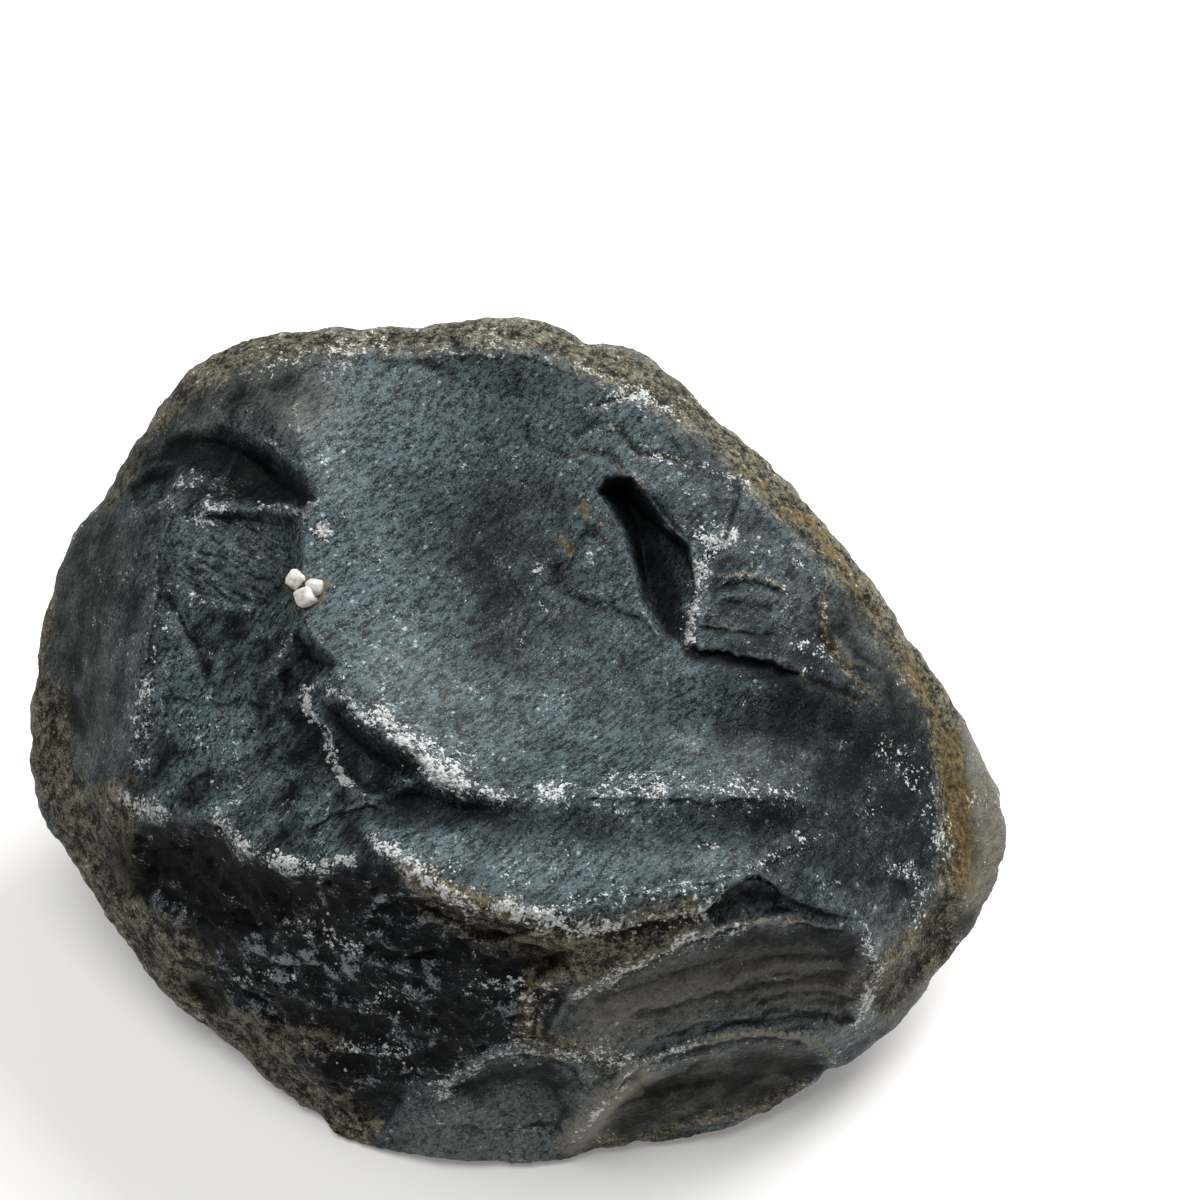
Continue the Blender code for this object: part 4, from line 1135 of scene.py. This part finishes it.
class Wire:
    """A socket of a material's nodes, so that shader maths can be written as plain expressions."""

    def __init__(self, tree, socket):
        self.tree = tree
        self.socket = socket

    def node(self, kind, settings, inputs, output=0):
        """Adds a node with these settings and inputs, each a value or a wire, and gives one output."""
        made = self.tree.nodes.new(kind)
        for name, value in settings.items():
            setattr(made, name, value)
        for name, value in inputs.items():
            if isinstance(value, Wire):
                self.tree.links.new(value.socket, made.inputs[name])
            else:
                made.inputs[name].default_value = value
        return Wire(self.tree, made.outputs[output])

    def maths(self, operation, *values):
        """One Math node on these values and wires."""
        return self.node("ShaderNodeMath", {"operation": operation}, dict(enumerate(values)))

    def __add__(self, other):
        return self.maths("ADD", self, other)

    def __sub__(self, other):
        return self.maths("SUBTRACT", self, other)

    def __rsub__(self, other):
        return self.maths("SUBTRACT", other, self)

    def __mul__(self, other):
        return self.maths("MULTIPLY", self, other)

    def __gt__(self, other):
        return self.maths("GREATER_THAN", self, other)

    __radd__ = __add__
    __rmul__ = __mul__

    def most(self, other):
        """The larger of this and the other."""
        return self.maths("MAXIMUM", self, other)

    def ramp(self, low, high):
        """Rises softly from 0 at the low value to 1 at the high one."""
        settings = {"interpolation_type": "SMOOTHSTEP"}
        return self.node("ShaderNodeMapRange", settings, {0: self, 1: low, 2: high})

    def mix(self, first, second):
        """The first colour where this is 0, the second where it is 1."""
        settings = {"data_type": "RGBA", "clamp_factor": True}
        return self.node("ShaderNodeMix", settings, {0: self, 6: first, 7: second}, 2)

    def noise(self, scale, detail=3.0, roughness=0.6):
        """Cloudy noise around a half, over the place that this wire gives."""
        inputs = {"Vector": self, "Scale": scale, "Detail": detail, "Roughness": roughness}
        return self.node("ShaderNodeTexNoise", {}, inputs)

    def mark(self, name):
        """One of the mesh's own numbers."""
        return self.node("ShaderNodeAttribute", {"attribute_name": name}, {}, 2)


def new_material(name):
    """A Principled material with its surface node and the object's own coordinates."""
    material = bpy.data.materials.new(name)
    material.use_nodes = True
    tree = material.node_tree
    surface = tree.nodes["Principled BSDF"]
    where = tree.nodes.new("ShaderNodeTexCoord")
    return material, surface, Wire(tree, where.outputs["Object"])


def wire_to(wire, node, name):
    """Links a wire to a node's input."""
    wire.tree.links.new(wire.socket, node.inputs[name])


rock, surface, at = new_material("basalt_surface")
cloudy = at.noise(38.0) - 0.5
patchy = at.noise(210.0, 4.0) - 0.5
gritty = at.noise(1000.0, 3.0, 0.7) - 0.5
dusty = at.noise(3000.0, 2.0) - 0.5
edge = at.mark("edge")
warm = at.mark("warm")
# Dark fresh rock and painted shade, from the black marks
black_rock_and_shade = at.mark("black_rock_and_shade")

# Fine strokes that run up to the right across the fresh faces, as the break pulled them
brushed = at.node("ShaderNodeMapping", {"vector_type": "TEXTURE"}, {
    "Vector": at, "Rotation": (0, 0, -0.8), "Scale": (1.0, 3.0, 1.3)})
streaky = brushed.noise(1500.0, 4.0, 0.8) - 0.5
mottled = (brushed.noise(260.0, 3.0, 0.6) - 0.5) * (at.mark("uneven") + 0.3)

# The blue-grey ground, dark or light in patches, with the painted light and shade of the tone marks,
# warmer in the smooth scars, and its dark pepper
light = at.mark("tone") + cloudy * 0.35 + patchy * 0.85 + mottled * 1.8 + edge * 0.2
light = light.ramp(0.0, 1.0)
ground = light.mix(BARE_DARK, warm.mix(BARE_BLUE, BARE_WARM))
pepper = dusty * 1.5 + streaky * 3.6
ground = (pepper * (1 - warm * 0.55) + warm * 0.2 + 0.5).ramp(0.0, 1.0).mix(PEPPER, ground)


def pale_flecks(scale, share):
    """Pale mineral flecks: one in some of the cells of this scale, more of them where it is light."""
    cells = {"Vector": at, "Scale": scale}
    near = at.node("ShaderNodeTexVoronoi", {}, cells)
    chance = at.node("ShaderNodeTexVoronoi", {}, cells, 1)
    reach = at.node("ShaderNodeSeparateColor", {}, {"Color": chance}, 1)
    luck = at.node("ShaderNodeSeparateColor", {}, {"Color": chance})
    luck = luck + light * 0.25 - warm * 0.2 + patchy * 0.3
    return (reach * 0.6 - near).ramp(0.0, 0.2) * (luck > 1 - share)


# Pale flecks of all sizes, the largest cut up by the strokes
scratched = pale_flecks(1400.0, 0.016) * streaky.ramp(-0.04, 0.1)
salt = pale_flecks(4300.0, 0.22).most(scratched * 2.2)
bare = (salt * (0.08 + light * 0.28)).mix(ground, PALE_FLECKS)

# Edges rubbed pale, and the grey grit of the dark flank and beside the lime
rubbed = edge * 0.7 + gritty * 1.8 + patchy * 1.2 + at.mark("crust") * 0.3
bare = (rubbed.ramp(0.55, 1.0) * (1 - black_rock_and_shade) * 0.55).mix(bare, RUBBED_EDGES)
grit = at.mark("grit") * 0.44 + gritty * 2.4 + dusty * 2.2 + edge * 0.3
grit = grit + mottled * 2.4 - black_rock_and_shade * 0.45
bare = (grit.ramp(0.5, 1.05) * at.mark("grit") * 0.85).mix(bare, FLANK_GRIT)

# The worn crust of the old block, and iron stain over it
old = (at.mark("crust") + patchy * 0.7 + gritty * 0.9).ramp(0.28, 0.66)
crust_light = gritty * 1.7 + dusty * 1.5 + patchy * 0.5 + edge * 0.3 + 0.5
weathered = (old * 0.92).mix(bare, crust_light.ramp(0.2, 1.0).mix(CRUST_DARK, CRUST_LIGHT))
rusty = (at.mark("ochre") + patchy * 1.1 + gritty * 1.3).ramp(0.45, 0.95)
stained = (rusty * 0.8).mix(weathered, gritty.ramp(-0.2, 0.2).mix(RUST_DARK, RUST_LIGHT))

# Dried lime, in crumbs along the broken edges
limed = at.mark("lime") + gritty * 2.6 + dusty * 1.8 + patchy * 2.0 + edge * 0.2
limed = limed.ramp(0.62, 0.98)
lime_light = (dusty + gritty + 0.3).ramp(0.0, 0.6)
colour = (limed * 0.95).mix(stained, lime_light.mix(LIME_DULL, LIME_WHITE))

# Painted shade in the bites and in the nooks between raised edges, and the black marks' dark rock and
# painted shade, all dark but for the grit in them
nook = (patchy * 0.3 - edge - 0.2).ramp(0.0, 0.9) * (1 - old * 0.5)
shaded = (black_rock_and_shade * (gritty * 1.6 + patchy * 0.8 + 1.15)).ramp(0.1, 0.9)
dark = (at.mark("hollow") * 0.55).most(nook * 0.7).most(shaded * 0.85)
dark = dark * (1 - grit.ramp(0.7, 1.1) * at.mark("grit") * 0.7)
wire_to(dark.mix(colour, SHADE_AND_BLACK_ROCK), surface, "Base Color")

# Satin where it is freshly broken, dull on the crust and the lime
wire_to(0.52 + old * 0.15 + limed * 0.25 + gritty * 0.3 - salt * 0.1, surface, "Roughness")
surface.inputs["Specular IOR Level"].default_value = 0.06
sheen = (light * 0.3 + salt * 0.4 - 0.03) * (1 - old) * (1 - dark)
wire_to(sheen, surface, "Coat Weight")
surface.inputs["Coat Roughness"].default_value = 0.4
coarse = at.mark("crust") * 0.9 + at.mark("lime") * 0.7 + at.mark("uneven") * 0.5 + 0.5
relief = (gritty + 0.5) * coarse + dusty * 0.5 + streaky * 0.35
bump = at.node("ShaderNodeBump", {}, {"Height": relief, "Distance": 0.00028, "Strength": 0.75})
wire_to(bump, surface, "Normal")

stone_mesh.materials.clear()
stone_mesh.materials.append(rock)
stone = bpy.data.objects.new("basalt_stone", stone_mesh)
bpy.context.collection.objects.link(stone)
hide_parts("basalt_chunk")
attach(stone, "root")

# THREE WHITE CRYSTALS
# Small blocky crystals of a white mineral that grew in a cavity, opened by the break at the left
# edge of the dish. Each is a rough block, sunk into the rock for about half of its height.

# Picture point and radius in millimetres of each
CRYSTALS = ((298, 579, 1.65), (315, 587, 1.45), (305, 599, 1.75))
CRYSTAL_LIFT = 0.3
CRYSTAL_SEED = 7

# A block's corners and their rounding, as shares of its radius, and the points around each
CORNER_REACH = 0.36
CORNER_ROUNDING = 0.38
CORNER_POINTS = 16

# A point of the stone counts as seen from this facing on, and others are set this many pixels away
SEEN_FROM = 0.3
OUT_OF_REACH = 1000

WHITE_DULL, WHITE_CLEAN = (0.50, 0.46, 0.38, 1), (0.80, 0.79, 0.75, 1)


def on_stone(across, down):
    """The point of the stone that shows at a picture point, and which way the stone faces there."""
    gaps = np.hypot(*(picture(set_out) - (across, down)).T) + OUT_OF_REACH * (set_facing < SEEN_FROM)
    nearest = int(np.argmin(gaps))
    return Vector(set_down(set_out[nearest])), Vector(set_normals[nearest])


def block(bm, centre, radius, random):
    """Adds one rounded block: the hull of points around a cube's corners, turned at random."""
    turn = Euler(random.uniform(0, 2 * math.pi, 3)).to_matrix()
    points = []
    for corner in product((-1, 1), repeat=3):
        for _ in range(CORNER_POINTS):
            aside = Vector(random.normal(size=3)).normalized()
            moved = Vector(corner) * CORNER_REACH + aside * CORNER_ROUNDING
            points.append(bm.verts.new(centre + turn @ moved * radius))
    hull = bmesh.ops.convex_hull(bm, input=points)
    loose = [item for item in hull["geom_interior"] if isinstance(item, bmesh.types.BMVert)]
    bmesh.ops.delete(bm, geom=loose, context="VERTS")


crystal_random = np.random.default_rng(CRYSTAL_SEED)
bm = bmesh.new()
for across, down, radius in CRYSTALS:
    spot, out = on_stone(across, down)
    block(bm, spot + out * radius * MM * CRYSTAL_LIFT, radius * MM, crystal_random)
crystal_mesh = bpy.data.meshes.new("white_crystals")
bm.to_mesh(crystal_mesh)
bm.free()
white, surface, at = new_material("white_mineral")
veins = at.noise(900.0)
wire_to(veins.ramp(0.3, 0.6).mix(WHITE_DULL, WHITE_CLEAN), surface, "Base Color")
surface.inputs["Roughness"].default_value = 0.4
crystal_mesh.materials.append(white)
crystal_mesh.polygons.foreach_set("use_smooth", np.ones(len(crystal_mesh.polygons), bool))
crystals = bpy.data.objects.new("white_crystals", crystal_mesh)
bpy.context.collection.objects.link(crystals)
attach(crystals, "root")

# LIME GRAINS
# Crumbs of dried lime and weathered grit that cling to the broken edges, thickest in the white runs
# under the dish. They are scattered over the stone where its lime mark is strong.

# The scatter's own inputs: most grains to a square metre, smallest and largest radius in metres
GRAIN_SOCKETS = (
    ("Density", "NodeSocketFloat", 3.4e6), ("Smallest", "NodeSocketFloat", 0.00006),
    ("Largest", "NodeSocketFloat", 0.00038), ("Seed", "NodeSocketInt", 4),
)

# Grains keep to the strong lime by this power of its mark, and are squashed or stretched this much
GRAIN_POWER = 3.0
GRAIN_SQUASHED, GRAIN_STRETCHED = (0.6, 0.6, 0.5), (1.3, 1.3, 1.0)
FULL_TURN = 6.28

GRAIN_DULL, GRAIN_WHITE = (0.22, 0.22, 0.20, 1), (0.60, 0.61, 0.59, 1)
lime_colour, surface, at = new_material("dried_lime")
shade = at.noise(700.0).ramp(0.35, 0.65)
wire_to(shade.mix(GRAIN_DULL, GRAIN_WHITE), surface, "Base Color")
surface.inputs["Roughness"].default_value = 0.8

scatter = bpy.data.node_groups.new("lime_scatter", "GeometryNodeTree")
face = scatter.interface
face.new_socket("Stone", in_out="INPUT", socket_type="NodeSocketGeometry")
for name, kind, _ in GRAIN_SOCKETS:
    face.new_socket(name, in_out="INPUT", socket_type=kind)
face.new_socket("Grains", in_out="OUTPUT", socket_type="NodeSocketGeometry")


def grow(kind, inputs, settings=None):
    """Adds a node to the scatter, with inputs that are values or output sockets."""
    made = scatter.nodes.new(kind)
    for name, value in (settings or {}).items():
        setattr(made, name, value)
    for name, value in inputs.items():
        if isinstance(value, bpy.types.NodeSocket):
            scatter.links.new(value, made.inputs[name])
        else:
            made.inputs[name].default_value = value
    return made


given = scatter.nodes.new("NodeGroupInput").outputs
amount = grow("GeometryNodeInputNamedAttribute", {"Name": "lime"}, {"data_type": "FLOAT"})
thick = grow("ShaderNodeMath", {0: amount.outputs[0], 1: GRAIN_POWER}, {"operation": "POWER"})
dense = grow("ShaderNodeMath", {0: thick.outputs[0], 1: given["Density"]}, {"operation": "MULTIPLY"})
spots = grow("GeometryNodeDistributePointsOnFaces", {
    "Mesh": given["Stone"], "Density": dense.outputs[0], "Seed": given["Seed"]})
crumb = grow("GeometryNodeMeshIcoSphere", {"Radius": 1.0, "Subdivisions": 1})
turn = grow("FunctionNodeRandomValue", {0: (0, 0, 0), 1: (FULL_TURN,) * 3, "ID": 0},
            {"data_type": "FLOAT_VECTOR"})
size = grow("FunctionNodeRandomValue", {2: given["Smallest"], 3: given["Largest"]},
            {"data_type": "FLOAT"})
uneven = grow("FunctionNodeRandomValue", {0: GRAIN_SQUASHED, 1: GRAIN_STRETCHED},
              {"data_type": "FLOAT_VECTOR"})
stretch = grow("ShaderNodeVectorMath", {0: uneven.outputs[0]}, {"operation": "SCALE"})
scatter.links.new(size.outputs[1], stretch.inputs["Scale"])
placed = grow("GeometryNodeInstanceOnPoints", {
    "Points": spots.outputs["Points"], "Instance": crumb.outputs["Mesh"],
    "Rotation": turn.outputs[0], "Scale": stretch.outputs[0]})
real = grow("GeometryNodeRealizeInstances", {"Geometry": placed.outputs[0]})
coloured = grow("GeometryNodeSetMaterial", {"Geometry": real.outputs[0], "Material": lime_colour})
grow("NodeGroupOutput", {"Grains": coloured.outputs[0]})

holder = bpy.data.objects.new("holder", stone_mesh)
bpy.context.collection.objects.link(holder)
scattering = holder.modifiers.new("scatter", "NODES")
scattering.node_group = scatter
for item in face.items_tree:
    for name, _, value in GRAIN_SOCKETS:
        if item.name == name:
            scattering[item.identifier] = value
graph = bpy.context.evaluated_depsgraph_get()
grain_mesh = bpy.data.meshes.new_from_object(holder.evaluated_get(graph), depsgraph=graph)
bpy.data.objects.remove(holder)
grain_places, _ = places_and_normals(grain_mesh)
move(grain_mesh, np.clip(grain_places, cad_low, cad_high))
grains = bpy.data.objects.new("lime_grains", grain_mesh)
bpy.context.collection.objects.link(grains)
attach(grains, "root")

# FLOOR, LIGHT AND CAMERA
# A plain white floor under soft studio light from above and behind the right, seen from the same
# place as in the photo, close to the stone and well above it.
FLOOR_HALF = 3.0
FLOOR_GLOW = 0.14
WORLD_LIGHT = 0.22
SENSOR_WIDTH = 36.0

floor_mesh = bpy.data.meshes.new("floor")
floor_mesh.from_pydata(
    [(-FLOOR_HALF, -FLOOR_HALF, 0), (FLOOR_HALF, -FLOOR_HALF, 0),
     (FLOOR_HALF, FLOOR_HALF, 0), (-FLOOR_HALF, FLOOR_HALF, 0)], [], [(0, 1, 2, 3)])
floor_colour, surface, at = new_material("floor")
surface.inputs["Base Color"].default_value = (0.88, 0.87, 0.86, 1)
surface.inputs["Emission Color"].default_value = (1.0, 1.0, 1.0, 1)
surface.inputs["Emission Strength"].default_value = FLOOR_GLOW
surface.inputs["Roughness"].default_value = 0.9
floor_mesh.materials.append(floor_colour)
floor = bpy.data.objects.new("floor", floor_mesh)
bpy.context.collection.objects.link(floor)


def soft_light(name, place, aim, size, power):
    """A square soft light at a place, turned to its aim."""
    data = bpy.data.lights.new(name, "AREA")
    data.size = size
    data.energy = power
    lamp = bpy.data.objects.new(name, data)
    lamp.location = place
    lamp.rotation_euler = (Vector(aim) - Vector(place)).to_track_quat("-Z", "Y").to_euler()
    bpy.context.collection.objects.link(lamp)


soft_light("window", place=(0.40, 0.42, 0.55), aim=(0, 0, 0.04), size=0.40, power=7.5)
soft_light("ceiling", place=(-0.12, 0.05, 0.95), aim=(0, 0, 0), size=0.60, power=5.5)
world = bpy.data.worlds.new("studio")
world.use_nodes = True
background = world.node_tree.nodes["Background"]
background.inputs["Color"].default_value = (1.0, 1.0, 1.0, 1)
background.inputs["Strength"].default_value = WORLD_LIGHT
bpy.context.scene.world = world
bpy.context.scene.view_settings.view_transform = "Standard"

camera_data = bpy.data.cameras.new("camera")
camera_data.sensor_width = SENSOR_WIDTH
camera_data.lens = SENSOR_WIDTH / 2 * FOCAL_PIXELS / VIEW_CENTRE
camera = bpy.data.objects.new("camera", camera_data)
turned = Matrix((SIGHT_RIGHT, SIGHT_UP, -SIGHT)).transposed()
camera.matrix_world = Matrix.Translation(Vector(set_down(EYE))) @ turned.to_4x4()
bpy.context.collection.objects.link(camera)
bpy.context.scene.camera = camera
